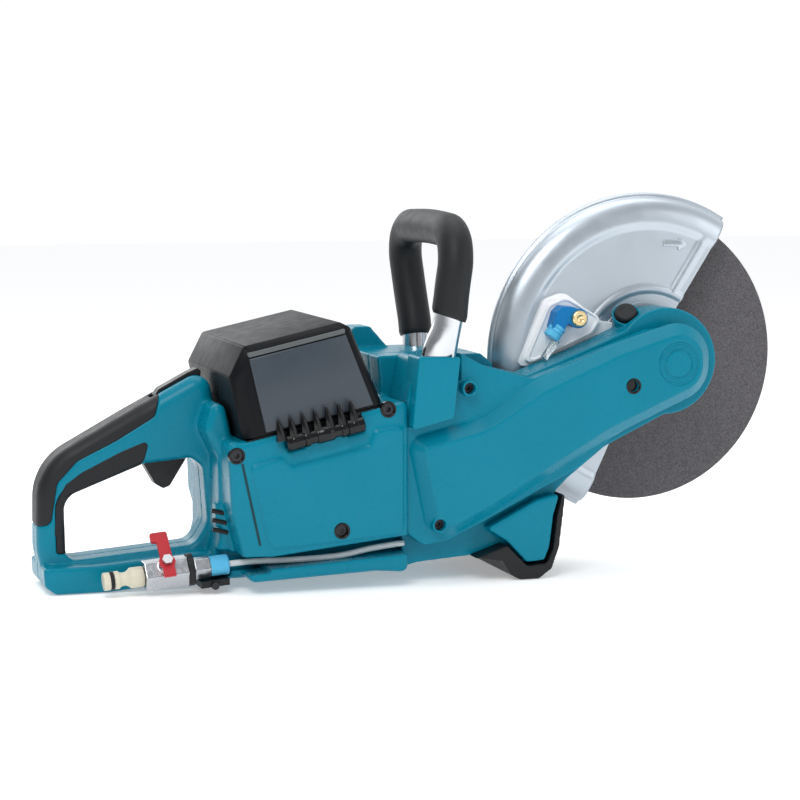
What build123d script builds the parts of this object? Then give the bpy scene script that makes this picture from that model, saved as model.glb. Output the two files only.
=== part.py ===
from build123d import *
import math
import os

# Battery-powered cut-off saw with a 230 mm abrasive wheel, as separate pieces.
#
# Frame: millimetres, +X forward towards the wheel, +Z up from the ground, Y across the saw, with
# the belt cover on the -Y side. The origin is on the ground, midway along the saw and across it.
# Side outlines go through side(), whose points are measured forward from the wheel's axis and up
# from the ground.

os.makedirs("parts", exist_ok=True)

# --- Driving dimensions -------------------------------------------------------------------------
AXIS_X = 182.0             # wheel axis, forward of the origin
AXIS_Z = 161.0             # wheel axis, above the ground
WHEEL_R = 115.0
WHEEL_T = 2.6
WHEEL_Y = 4.0              # mid plane of the wheel
WHEEL_BORE_R = 11.1
BODY_HALF_W = 77.0         # battery housing
HANDLE_HALF_W = 19.0       # rear handle
FOOT_HALF_W = 33.0         # rear foot under the handle
WALL = 2.5                 # moulded wall
BAY_TILT = 12.5            # the battery bay leans back by this
LID_HALF_W = 76.0
LID_WALL = 3.0
COVER_FACE_Y = -82.0       # outer face of the belt cover
COVER_STEP_Y = -72.0       # foot of the cover's bevel
SPLIT_Y = -58.0            # joint between belt cover and arm frame
ARM_BACK_Y = -26.0         # inner face of the arm frame
GUARD_FROM, GUARD_TO = 57.5, 245.0   # the guard's two ends, as directions from the wheel axis
GUARD_CLEAR_R = 130.0      # nothing fixed stands inside this, beside the guard
SHAFT_X, SHAFT_Z = -168.0, 84.0      # countershaft
MODULE = 1.25
PINION_TEETH, GEAR_TEETH = 13, 40
MOTOR_DIRECTION = 110.0    # from the countershaft to the motor
PULLEY_R = 20.0
BELT_T = 3.0
GRIP_T = 2.5               # rubber over the rear handle
RUN = 0.05                 # radial clearance of a running fit
GAP = 0.3                  # clearance of pieces that pass each other
HANDLE_TUBE_R = 11.0
HANDLE_GRIP_R = 13.3

MOTOR_DISTANCE = MODULE * (PINION_TEETH + GEAR_TEETH) / 2 + 0.2
MOTOR_X = SHAFT_X + MOTOR_DISTANCE * math.cos(math.radians(MOTOR_DIRECTION))
MOTOR_Z = SHAFT_Z + MOTOR_DISTANCE * math.sin(math.radians(MOTOR_DIRECTION))
TILT = math.radians(BAY_TILT)


# --- Planes and shared shapes -------------------------------------------------------------------
def side(*points):
    """Side-view points in the frame, from the wheel axis and the ground."""
    return [(x + AXIS_X, z) for x, z in points]


def at(y):
    """The side-view sketch plane at that Y: x is forward, y is up, and it faces the belt cover."""
    return Plane.XZ.offset(-y)


# The battery bay's own axes: u runs forward along its floor, and v up out of it.
BAY_U = Vector(math.cos(TILT), 0, math.sin(TILT))
BAY_V = Vector(-math.sin(TILT), 0, math.cos(TILT))
BAY_SIDE = Plane(origin=(AXIS_X, 0, 0), x_dir=BAY_U, z_dir=(0, -1, 0))
BAY_END = Plane(origin=(AXIS_X, 0, 0), x_dir=(0, 1, 0), z_dir=BAY_U)

# Directions from the wheel's axis, for what turns with the guard.
GUARD_START = math.radians(GUARD_FROM)
GUARD_SECTION = Plane(origin=(AXIS_X, 0, AXIS_Z), x_dir=(math.cos(GUARD_START), 0, math.sin(GUARD_START)),
                      z_dir=(-math.sin(GUARD_START), 0, math.cos(GUARD_START)))
WHEEL_AXIS = Axis((AXIS_X, 0, AXIS_Z), (0, -1, 0))


def bay_point(u, v):
    """The side-view point at u, v of the battery bay."""
    return (u * math.cos(TILT) - v * math.sin(TILT), u * math.sin(TILT) + v * math.cos(TILT))


def outline(points, radius=0.0):
    """Fills a closed outline, with its corners rounded, in the open sketch."""
    with BuildLine() as edge:
        if radius:
            FilletPolyline(*points, radius=radius, close=True)
        else:
            Polyline(*points, close=True)
    make_face(edge.edges())


def slab(points, far, near, radius=0.0, mode=Mode.ADD):
    """A plate of that side outline between two Y, in the open part."""
    with BuildSketch(at(far)) as profile:
        outline(points, radius)
    extrude(profile.sketch, amount=far - near, mode=mode)


def bay_slab(points, far, near, radius=0.0, mode=Mode.ADD):
    """A plate drawn in the bay's u and v, between two Y, in the open part."""
    with BuildSketch(BAY_SIDE.offset(-far)) as profile:
        outline(points, radius)
    extrude(profile.sketch, amount=far - near, mode=mode)


def bay_box(u0, u1, v0, v1, far, near, mode=Mode.ADD):
    """A block square to the bay, in the open part."""
    bay_slab([(u0, v0), (u1, v0), (u1, v1), (u0, v1)], far, near, 0.0, mode)


def ring(x, z, outer, inner, far, near, mode=Mode.ADD):
    """A ring or a round bar across the saw, between two Y, in the open part."""
    with BuildSketch(at(far)) as profile:
        with Locations((x + AXIS_X, z)):
            Circle(outer)
            if inner:
                Circle(inner, mode=Mode.SUBTRACT)
    extrude(profile.sketch, amount=far - near, mode=mode)


def bar(plane, radius, length, inner=0.0, mode=Mode.ADD):
    """A ring or a round bar standing on a plane, in the open part."""
    with BuildSketch(plane) as profile:
        Circle(radius)
        if inner:
            Circle(inner, mode=Mode.SUBTRACT)
    extrude(profile.sketch, amount=length, mode=mode)


def hexagon(plane, across, length, bore=0.0):
    """A hexagonal nut or body standing on a plane, in the open part."""
    with BuildSketch(plane) as profile:
        RegularPolygon(across / 2, 6, major_radius=False)
        if bore:
            Circle(bore, mode=Mode.SUBTRACT)
    extrude(profile.sketch, amount=length)


def save(piece, label):
    """Labels a finished piece and writes its file."""
    piece.part.label = label
    export_step(piece.part, f"parts/{label}.step")


# --- Rear handle: the loop that the grips and both housing halves share --------------------------
LOOP_OUT = side((-350, 162), (-413, 129), (-478, 93), (-479, 30), (-472, 0), (-428, 0), (-325, 9),
                (-335, 80))
LOOP_OUT_R = [12, 60, 45, 40, 13, 14, 12, 20]
LOOP_IN = side((-459, 69), (-399, 92), (-364, 95), (-355, 88), (-352, 46), (-362, 30), (-458, 22))
LOOP_IN_R = [14, 20, 5, 8, 12, 12, 8]
OUTER_GRIP = side((-384, 152), (-391, 127), (-420, 110), (-449, 96), (-464, 80), (-469, 50),
                  (-490, 46), (-490, 110), (-420, 152))
INNER_GRIP = side((-401, 110), (-401, 84), (-451, 66), (-451, 28), (-474, 28), (-474, 110))
INNER_GRIP_T = 7.0
LEVER_SLOT = side((-392, 160), (-392, 134), (-385, 128), (-352.5, 144.5), (-351.5, 172))
LEVER_SLOT_HALF_W = 6.4
TOP_EDGE_R, OPENING_EDGE_R = 10.0, 4.0

with BuildPart() as handle_loop:
    slab(LOOP_OUT, HANDLE_HALF_W, -HANDLE_HALF_W, LOOP_OUT_R)
    for sidewall in (0, -1):
        fillet(handle_loop.faces().filter_by(Axis.Y).sort_by(Axis.Y)[sidewall].edges(), TOP_EDGE_R)
    slab(LOOP_IN, 60, -60, LOOP_IN_R, Mode.SUBTRACT)
    for sidewall in (0, -1):
        hole = handle_loop.faces().filter_by(Axis.Y).sort_by(Axis.Y)[sidewall].inner_wires()[0]
        fillet(hole.edges(), OPENING_EDGE_R)

with BuildPart() as handle_core:
    core_half_w = HANDLE_HALF_W - GRIP_T
    with BuildSketch(at(core_half_w)) as core_profile:
        outline(LOOP_OUT, LOOP_OUT_R)
        offset(amount=-GRIP_T, mode=Mode.REPLACE)
    extrude(core_profile.sketch, amount=2 * core_half_w)
    fillet(handle_core.faces().sort_by(Axis.Y)[0].edges(), TOP_EDGE_R - GRIP_T)
    fillet(handle_core.faces().sort_by(Axis.Y)[-1].edges(), TOP_EDGE_R - GRIP_T)

with BuildPart() as grip_outer:
    add(handle_loop.part)
    slab(OUTER_GRIP, 40, -40, 6, Mode.INTERSECT)
    add(handle_core.part, mode=Mode.SUBTRACT)
    slab(LEVER_SLOT, LEVER_SLOT_HALF_W, -LEVER_SLOT_HALF_W, 1, Mode.SUBTRACT)
save(grip_outer, "grip_outer")

with BuildPart() as grip_inner:
    add(handle_loop.part)
    slab(INNER_GRIP, 40, -40, 4, Mode.INTERSECT)
    with BuildSketch(at(40)) as band:
        outline(LOOP_IN, LOOP_IN_R)
        offset(amount=INNER_GRIP_T, mode=Mode.REPLACE)
    extrude(band.sketch, amount=80, mode=Mode.INTERSECT)
save(grip_inner, "grip_inner")

# --- Housing ------------------------------------------------------------------------------------
REAR_BODY = side((-349, 156), (-360, 118), (-350, 98), (-350, 38), (-358, 8), (-325, 8), (-325, 100),
                 (-339.5, 113))
MID_BODY = side((-349, 113.5), (-347, 60), (-333, 9), (-238, 13), (-213, 11), (-213, 139),
                bay_point(-196, 183), bay_point(-305, 183))
FRONT_BOTTOM = [(-159, 18), (-134, 26.5), (-118, 10.3), (-102, 11.5), (-97, 23), (-94, 48), (-90, 64.5)]
FRONT_BODY = side((-220, 150), (-218, 11), *FRONT_BOTTOM, (-100, 90), (-112, 130), (-120, 152),
                  (-140, 168), (-222, 168))
FRONT_ROOM = side((-209.5, 160), (-209.5, 17), (-161, 23), (-134, 32), (-116, 16), (-104, 17), (-99, 50),
                  (-96, 66), (-104, 90), (-122, 132), (-130, 158), (-144, 162))
REAR_FOOT = side((-477, 20), (-476, 6), (-468, 0), (-428, 0), (-330, 9), (-330, 26), (-360, 26), (-440, 20))
HINGE_U = (-275.5, -215.5)
HINGE_DIP_V = 168.0
LID_SEAT_V = 183.0
LEFT_FRONT_W = 70.0
REAR_ROOM_HALF_W, FOOT_ROOM_HALF_W = 38.0, 45.0
SHAFT_HOLE_R = 14.0
MOTOR_R = 29.0
FAR_LEG = (-164.0, 58.0)   # x and Y of the front handle's far foot
NEAR_LEG = (-181.0, -72.0)
LEG_SOCKET_Z = 152.0


SCREW_HEAD_R = 4.3
HOUSING_SCREWS = ((-229, 133), (-343, 103), (-265, 45))

with BuildPart() as front_foot:
    slab(side(*FRONT_BOTTOM, (-87.5, 62), (-92, 24), (-98, 7), (-108, 0), (-124, 0), (-131, 4), (-137, 14.5)),
         66, COVER_STEP_Y, 0)
save(front_foot, "front_foot")

with BuildPart() as water_bracket:
    slab(side((-366, 4), (-366, 9), (-345, 11), (-345, 6)), -30, -60, 0)
    ring(-356, 6, 3, 0, -29, -61, Mode.SUBTRACT)
save(water_bracket, "water_bracket")
with BuildPart() as bracket_screw:
    ring(-356, 6, 2.9, 0, -24, -61.5)


def housing_half(sign):
    """One moulded half of the housing: -1 on the belt side, +1 on the far side."""
    def layer(points, width, radius=0.0, mode=Mode.ADD):
        far, near = (0.0, -width) if sign < 0 else (width, 0.0)
        slab(points, far, near, radius, mode)

    outer_face = 0 if sign < 0 else -1
    with BuildPart() as half:
        layer(REAR_FOOT, FOOT_HALF_W, 3)
        fillet(half.faces().sort_by(Axis.Y)[outer_face].edges(), 2.5)
        layer(REAR_BODY, 50, 6)
        fillet(half.faces().sort_by(Axis.Y)[outer_face].edges(), 5.5)
        layer(MID_BODY, BODY_HALF_W, 5)
        fillet(half.faces().sort_by(Axis.Y)[outer_face].edges(), 4)
        if sign > 0:
            layer(FRONT_BODY, LEFT_FRONT_W, 2)
            # A raised shoulder shields the front of the lid.
            slab(side((-224, 150), (-221, 185), (-207, 185), (-192, 168), (-192, 150)), LEFT_FRONT_W, 45, 3)
        else:
            slab(FRONT_BODY, 0, ARM_BACK_Y + GAP, 2)
        add(handle_loop.part)
        with BuildSketch(at(100 if sign < 0 else 0)) as other_half:
            Rectangle(900, 900)
        extrude(other_half.sketch, amount=100, mode=Mode.SUBTRACT)
        # Rooms for the controller, motor and cables.
        layer(side((-346, 108), (-346, 42), (-351, 14), (-320, 14), (-320, 108)), REAR_ROOM_HALF_W, 3,
              Mode.SUBTRACT)
        layer(side((-323, 38), (-323, 15), (-214, 17), (-214, 69), (-225, 69)), FOOT_ROOM_HALF_W, 3,
              Mode.SUBTRACT)
        front_width = LEFT_FRONT_W - WALL if sign > 0 else -ARM_BACK_Y - GAP - WALL
        layer(FRONT_ROOM, front_width, 2, Mode.SUBTRACT)
        bay_near, bay_far = (-74.5, 0) if sign < 0 else (0, 74.5)
        bay_box(-302.5, -198.5, 121, 200, bay_far, bay_near, Mode.SUBTRACT)
        # Switch room, trigger mouth and the slot of the lock-off lever.
        layer(side((-403, 80), (-403, 110), (-388, 123), (-350, 138), (-350, 100), (-361, 100), (-361, 80)),
              9, 1.5, Mode.SUBTRACT)
        layer(LEVER_SLOT, LEVER_SLOT_HALF_W, 1, Mode.SUBTRACT)
        # The opening of the handle.
        slab(LOOP_IN, 70, -70, LOOP_IN_R, Mode.SUBTRACT)
        add(grip_outer.part, mode=Mode.SUBTRACT)
        add(grip_inner.part, mode=Mode.SUBTRACT)
        add(front_foot.part, mode=Mode.SUBTRACT)
        # Clear of the guard, all round the wheel.
        ring(0, AXIS_Z, GUARD_CLEAR_R, 0, 30, -30, Mode.SUBTRACT)
        if sign < 0:
            # Recess for the water tube, vents, and the hinge's place in the rim.
            slab(side((-370, 30), (-370, 9), (-342, 11), (-342, 30)), -42, -90, 0, Mode.SUBTRACT)
            slab(side((-345, 28.5), (-345, 14.5), (-318, 16), (-318, 28)), -42, -90, 0, Mode.SUBTRACT)
            slab(side((-320, 27.5), (-320, 18.5), (-205, 25.5), (-205, 40)), -48, -90, 0, Mode.SUBTRACT)
            for step in range(3):
                foot = -351 + 5.5 * step
                slab(side((foot, 50 + step), (foot + 2.4, 50 + step), (foot + 5, 61 + step),
                          (foot + 2.6, 61 + step)), -30, -60, 0, Mode.SUBTRACT)
            bay_box(*HINGE_U, HINGE_DIP_V, 200, -70, -90, Mode.SUBTRACT)
            for x, z in HOUSING_SCREWS:
                ring(x, z, SCREW_HEAD_R + 0.2, 0, -72, -90, Mode.SUBTRACT)
                ring(x, z, 2.4, 0, -50, -90, Mode.SUBTRACT)
            add(water_bracket.part, mode=Mode.SUBTRACT)
            add(bracket_screw.part, mode=Mode.SUBTRACT)
            ring(MOTOR_X, MOTOR_Z, 12, 0, 0, -40, Mode.SUBTRACT)
        else:
            ring(MOTOR_X, MOTOR_Z, MOTOR_R + 2.5, MOTOR_R + 0.05, 34, 0)
            ring(MOTOR_X, MOTOR_Z, 14, 11.05, LEFT_FRONT_W - WALL, 52)
            with BuildSketch(Plane.XY.offset(LEG_SOCKET_Z - 6)) as socket:
                with Locations((FAR_LEG[0] + AXIS_X, FAR_LEG[1] - 2)):
                    Circle(HANDLE_TUBE_R + 3)
            extrude(socket.sketch, amount=160 - LEG_SOCKET_Z + 7)
            # Long vents let the motor's cooling air out.
            for step in range(6):
                foot = -186 + 9 * step
                slab(side((foot, 60), (foot + 4, 60), (foot + 10, 84), (foot + 6, 84)), 90, 60, 0,
                     Mode.SUBTRACT)
    return half


housing_right = housing_half(-1)
housing_left = housing_half(1)

# --- Front handle: one bent tube, a rubber sleeve and two bolts -----------------------------------
LEAN = Vector(FAR_LEG[0] - NEAR_LEG[0], FAR_LEG[1] - NEAR_LEG[1], 0).normalized()
HANDLE_PLANE = Plane(origin=(AXIS_X + (FAR_LEG[0] + NEAR_LEG[0]) / 2, 0, 0), x_dir=LEAN,
                     z_dir=LEAN.cross(Vector(0, 0, 1)))
HANDLE_CORNERS = [(-80, 257), (0, 264.5), (80, 257)]
HANDLE_BENDS = [27, 160, 27]


def handle_route(near_foot, far_foot):
    """The bent centre line of the front handle, between two points of its legs."""
    with BuildLine(HANDLE_PLANE) as route:
        FilletPolyline(near_foot, *HANDLE_CORNERS, far_foot, radius=HANDLE_BENDS)
    return route.line


def along(route, start_plane, outer, inner=0.0):
    """A tube or bar swept along a route from the plane it starts on, in the open part."""
    with BuildSketch(start_plane) as section:
        Circle(outer)
        if inner:
            Circle(inner, mode=Mode.SUBTRACT)
    sweep(section.sketch, path=route)


def on_leg(foot, corner, z):
    """The point of a leg's centre line at that height."""
    share = (z - foot[1]) / (corner[1] - foot[1])
    return (foot[0] + share * (corner[0] - foot[0]), z)


NEAR_FOOT, FAR_FOOT = (-73, LEG_SOCKET_Z), (57, LEG_SOCKET_Z)
GRIP_NEAR_Z, GRIP_FAR_Z = 199.0, 178.0
tube_route = handle_route(NEAR_FOOT, FAR_FOOT)
with BuildPart() as handle_tube:
    along(tube_route, Plane(origin=tube_route @ 0, z_dir=tube_route % 0), HANDLE_TUBE_R, HANDLE_TUBE_R - 2)
grip_route = handle_route(on_leg(NEAR_FOOT, HANDLE_CORNERS[0], GRIP_NEAR_Z),
                          on_leg(FAR_FOOT, HANDLE_CORNERS[2], GRIP_FAR_Z))
with BuildPart() as handle_grip:
    along(grip_route, Plane(origin=grip_route @ 0, z_dir=grip_route % 0), HANDLE_GRIP_R, HANDLE_TUBE_R)
near_foot, far_foot = tube_route @ 0, tube_route @ 1
BOLT_Z = 161.0
with BuildPart() as handle_bolts:
    for foot, face in ((near_foot, -1), (far_foot, 1)):
        bar(Plane(origin=(foot.X, foot.Y - face * 13.5, BOLT_Z), z_dir=(0, face, 0)), 3, 24)
with BuildPart() as tube_drilled:
    add(handle_tube.part)
    add(handle_bolts.part, mode=Mode.SUBTRACT)
handle_tube = tube_drilled

with BuildPart() as housing_left_bored:
    add(housing_left.part)
    bar(Plane(origin=far_foot, z_dir=-(tube_route % 1)), HANDLE_TUBE_R, 60, mode=Mode.SUBTRACT)
    add(handle_bolts.part, mode=Mode.SUBTRACT)

save(housing_left_bored, "housing_left")
save(handle_tube, "handle_tube")
save(handle_grip, "handle_grip")
save(handle_bolts, "handle_bolts")

# --- Battery bay, packs, electronics ---------------------------------------------------------------
with BuildPart() as battery_bay:
    bay_box(-302.3, -199.6, 121.3, LID_SEAT_V, 74.3, -74.3)
    bay_box(-300.3, -201.4, 123.3, 200, 72.3, -72.3, Mode.SUBTRACT)
save(battery_bay, "battery_bay")

# The packs' shoulders slope, so that the lid's far wall swings past them as it opens.
PACK_W = 67.4
PACK_TOP_V, PACK_SHOULDER_V, PACK_SLOPE = 237.5, 217.0, 7.5
for number, near in ((1, -69.5), (2, -1.4)):
    far = near + PACK_W
    with BuildPart() as pack:
        with BuildSketch(BAY_END.offset(-291)) as pack_section:
            with BuildLine() as pack_outline:
                Polyline((near, 123.5), (far, 123.5), (far, PACK_SHOULDER_V), (far - PACK_SLOPE, PACK_TOP_V),
                         (near + PACK_SLOPE, PACK_TOP_V), (near, PACK_SHOULDER_V), close=True)
            make_face(pack_outline.edges())
        extrude(pack_section.sketch, amount=64)
        fillet(pack.edges().filter_by(lambda e: abs(e.tangent_at(0.5).dot(BAY_U)) > 0.99), 2)
    save(pack, f"battery_pack_{number}")

with BuildPart() as terminal_blocks:
    for near in (-60, 8):
        bay_box(-226.5, -205, 123.5, 188, near + 48, near)
        for rail in (near, near + 42):
            bay_box(-226.5, -222, 126, 170, rail + 4.5, rail + 1.5, Mode.SUBTRACT)
save(terminal_blocks, "terminal_blocks")

with BuildPart() as controller:
    slab(side((-320, 18), (-320, 34), (-240, 44), (-240, 19)), 43, -43, 3)
    for fin in range(9):
        slab(side((-314 + 8 * fin, 31), (-310 + 8 * fin, 31), (-310 + 8 * fin, 60), (-314 + 8 * fin, 60)),
             39, -39, 0, Mode.SUBTRACT)
save(controller, "controller")

TRIGGER_PIVOT = (-367, 101)
LEVER_PIVOT = (-358, 150)
with BuildPart() as switch_unit:
    slab(side((-390, 111), (-354, 111), (-354, 132), (-388, 118)), 7, -7, 1)
save(switch_unit, "switch_unit")

with BuildPart() as trigger:
    slab(side((-397.5, 102), (-397.5, 90), (-389, 75), (-383, 71.5), (-378, 73.5), (-364, 96), (-363, 104)),
         7.5, -7.5, 2)
    ring(*TRIGGER_PIVOT, 2.05, 0, 20, -20, Mode.SUBTRACT)
save(trigger, "trigger")
with BuildPart() as lock_off_lever:
    slab(side((-389, 141), (-385.5, 146), (-364, 157.5), (-356, 161), (-353.5, 158.5), (-354, 148), (-384, 133)),
         6, -6, 1.2)
    ring(*LEVER_PIVOT, 1.55, 0, 20, -20, Mode.SUBTRACT)
save(lock_off_lever, "lock_off_lever")
with BuildPart() as handle_pins:
    ring(*TRIGGER_PIVOT, 2, 0, 8.9, -8.9)
    ring(*LEVER_PIVOT, 1.5, 0, 6.3, -6.3)
save(handle_pins, "handle_pins")

# --- Lid, its hinge and its latch ---------------------------------------------------------------
LID_EDGE = 8.0
HINGE_Y, HINGE_V, HINGE_R, HINGE_PIN_R = -80.5, 175.0, 5.5, 2.0
LATCH_Y, LATCH_V = 81.0, 192.0
LATCH_U = (-262.0, -232.0)


def lid_block(inset, bottom):
    """The lid's solid outer shape, drawn in by the inset, with bevelled sides."""
    half_w = LID_HALF_W - inset
    with BuildPart() as block:
        bay_slab([(-304.5 + inset, bottom), (-304.5 + inset, 231 - 0.3 * inset),
                  (-288.6 + 0.6 * inset, 250.2 - inset), (-214.9 - 0.3 * inset, 250.2 - inset),
                  (-207.9 - inset, 244.6 - 0.3 * inset), (-196.4 - inset, bottom)], half_w, -half_w)
        for sidewall in (0, -1):
            edges = block.faces().filter_by(Axis.Y).sort_by(Axis.Y)[sidewall].edges()
            chamfer([e for e in edges if abs(BAY_V.dot(e.center() - Vector(AXIS_X, 0, 0)) - bottom) > 1],
                    LID_EDGE)
    return block


def knuckle(u0, u1, y, v, radius, bore):
    """One hinge knuckle with its hole, along the bay's u, in the open part."""
    with BuildSketch(BAY_END.offset(u0)) as profile:
        with Locations((y, v)):
            Circle(radius)
            if bore:
                Circle(bore, mode=Mode.SUBTRACT)
    extrude(profile.sketch, amount=u1 - u0)


def pin_hole(u0, u1, y, v, radius):
    """Bores a hole along the bay's u through the open part."""
    with BuildSketch(BAY_END.offset(u0)) as hole:
        with Locations((y, v)):
            Circle(radius)
    extrude(hole.sketch, amount=u1 - u0, mode=Mode.SUBTRACT)


lid_outer, lid_inner = lid_block(0, LID_SEAT_V + 0.6), lid_block(LID_WALL, 170)
with BuildPart() as battery_lid:
    add(lid_outer.part)
    add(lid_inner.part, mode=Mode.SUBTRACT)
    # Side ledge for the fingers, and the comb of ribs over the hinge.
    bay_box(-294, -207, 224, 228, -75, -78)
    for u0, u1 in ((-273.5, -261.8), (-229.2, -217.5)):
        bay_box(u0, u1, HINGE_V, LID_SEAT_V + 3, -75, -83)
        knuckle(u0, u1, HINGE_Y, HINGE_V, HINGE_R, HINGE_PIN_R + RUN)
    for rib in range(7):
        with BuildSketch(BAY_END.offset(-278 + 9.3 * rib - 2.2)) as tooth:
            outline([(-75, 196), (-84.5, 186), (-84.5, 181.5), (-75, 184)])
        extrude(tooth.sketch, amount=4.4)
    # Ears and pin of the latch.
    for u0 in (LATCH_U[0] - 5.5, LATCH_U[1] + 0.5):
        bay_box(u0, u0 + 5, LATCH_V - 5, LATCH_V + 5, LATCH_Y, 75)
        knuckle(u0, u0 + 5, LATCH_Y, LATCH_V, 5, 0)
    knuckle(LATCH_U[0] - 1, LATCH_U[1] + 1, LATCH_Y, LATCH_V, HINGE_PIN_R, 0)
    pin_hole(-280, -210, HINGE_Y, HINGE_V, HINGE_PIN_R + RUN)
save(battery_lid, "battery_lid")

with BuildPart() as right_hinged:
    add(housing_right.part)
    bay_box(-261.3, -229.7, HINGE_DIP_V - 8, HINGE_V, -76, -83)
    knuckle(-261.3, -229.7, HINGE_Y, HINGE_V, HINGE_R, HINGE_PIN_R)
    pin_hole(-262, -229, HINGE_Y, HINGE_V, HINGE_PIN_R)
save(right_hinged, "housing_right")

with BuildPart() as hinge_pin:
    knuckle(-274, -217, HINGE_Y, HINGE_V, HINGE_PIN_R, 0)
save(hinge_pin, "hinge_pin")

with BuildPart() as lid_latch:
    knuckle(*LATCH_U, LATCH_Y, LATCH_V, 4.5, HINGE_PIN_R + RUN)
    bay_box(*LATCH_U, 166, LATCH_V - 3, LATCH_Y + 4.4, LATCH_Y + 1)
    bay_box(*LATCH_U, 163, 168, LATCH_Y + 4.4, BODY_HALF_W + 1.2)
save(lid_latch, "lid_latch")

# --- Arm: frame, belt cover and front skid --------------------------------------------------------
ARM_OUT = side((-213, 110), (-158, 123), (-114, 150), (-50, 177), (28.4, 201), (28.4, 141), (-52, 106),
               (-150, 50), (-181, 35), (-199, 44))
ARM_OUT_R = [12, 40, 60, 80, 27.5, 27.5, 80, 60, 12, 12]
COVER_BASE = side((-213, 138), (-206, 170), (-172, 173), (-150, 161), (-114, 152), (-20, 186), (0, 188),
                  (24, 176), (24, 146), (-52, 104), (-79, 82), (-150, 47), (-181, 33), (-200, 30),
                  (-213, 40))
ARM_WEB = side((-213, 12), (-200, 15), *FRONT_BOTTOM, (-80, 74), (-50, 97), (20, 130), (40, 161),
               (0, 200), (-50, 178), (-114, 153), (-150, 162), (-172, 173), (-206, 170), (-213, 138))
BRACKET = side((-208, 172), (-176, 171), (-181, 126), (-213, 118))
BRACKET_FACE_Y = -86.0
COVER_BEVEL = 9.0
ARM_EYE_R = 41.0
BOSS_R = 23.9
BEARING_R, BEARING_BORE_R, BEARING_W = 16.0, 6.0, 10.0
SHAFT_BEARING_R, SHAFT_BEARING_BORE_R, SHAFT_BEARING_W = 11.0, 4.0, 6.0
BUTTON_CENTRE = Vector(AXIS_X - 28, -43, 199)
BUTTON_AXIS = Vector(-0.3, -0.66, 0.69).normalized()
BUTTON_R, BUTTON_LENGTH, BUTTON_TRAVEL = 8.5, 12.0, 4.0
COVER_SCREWS = ((-167, 147), (-190, 46), (-37, 145))

with BuildPart() as arm_frame:
    bar(Plane(origin=BUTTON_CENTRE - BUTTON_AXIS * 24, z_dir=BUTTON_AXIS), BUTTON_R + 2.5, 21)
    slab(side((-90, 140), (-90, 240), (50, 240), (50, 140)), 0, ARM_BACK_Y, 0, Mode.SUBTRACT)
    slab(ARM_WEB, ARM_BACK_Y, SPLIT_Y, 4)
    ring(0, AXIS_Z, ARM_EYE_R, 0, ARM_BACK_Y, SPLIT_Y)
    # Pockets lighten it, from the belt side and from the back.
    slab(side((-138, 76), (-138, 134), (-112, 144), (-56, 166), (-44, 140), (-60, 114), (-84, 94), (-120, 86)),
         -32, SPLIT_Y, 6, Mode.SUBTRACT)
    slab(side((-206, 22), (-206, 46), (-180, 44), (-150, 44), (-106, 56), (-104, 26), (-116, 20), (-134, 36),
              (-160, 27)), 0, -50, 3, Mode.SUBTRACT)
    slab(side((-150, 40), (-134, 30), (-118, 13), (-104, 14), (-100, 24), (-97, 48), (-92, 64), (-110, 60)),
         SPLIT_Y, COVER_STEP_Y, 2)
    ring(0, AXIS_Z, BOSS_R, 0, ARM_BACK_Y + 8, ARM_BACK_Y)
    # Seats of the bearings, the gears and the button.
    ring(0, AXIS_Z, 14, 0, 0, -80, Mode.SUBTRACT)
    ring(0, AXIS_Z, BEARING_R, 0, -27, SPLIT_Y, Mode.SUBTRACT)
    ring(SHAFT_X, SHAFT_Z, SHAFT_BEARING_R, 0, -27, SPLIT_Y, Mode.SUBTRACT)
    ring(MOTOR_X, MOTOR_Z, 5.5, 0, 0, -46, Mode.SUBTRACT)
    ring(MOTOR_X, MOTOR_Z, SHAFT_BEARING_R, 0, -27, -33, Mode.SUBTRACT)
    ring(MOTOR_X, MOTOR_Z, 11.5, 0, -33, -49, Mode.SUBTRACT)
    ring(SHAFT_X, SHAFT_Z, 28, 0, -34, -49, Mode.SUBTRACT)
    bar(Plane(origin=BUTTON_CENTRE + BUTTON_AXIS * 5, z_dir=-BUTTON_AXIS), BUTTON_R + RUN,
        5 + BUTTON_LENGTH + BUTTON_TRAVEL, mode=Mode.SUBTRACT)
    for x, z in COVER_SCREWS:
        ring(x, z, 2.5, 0, -40, -80, Mode.SUBTRACT)
    add(front_foot.part, mode=Mode.SUBTRACT)
save(arm_frame, "arm_frame")

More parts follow.
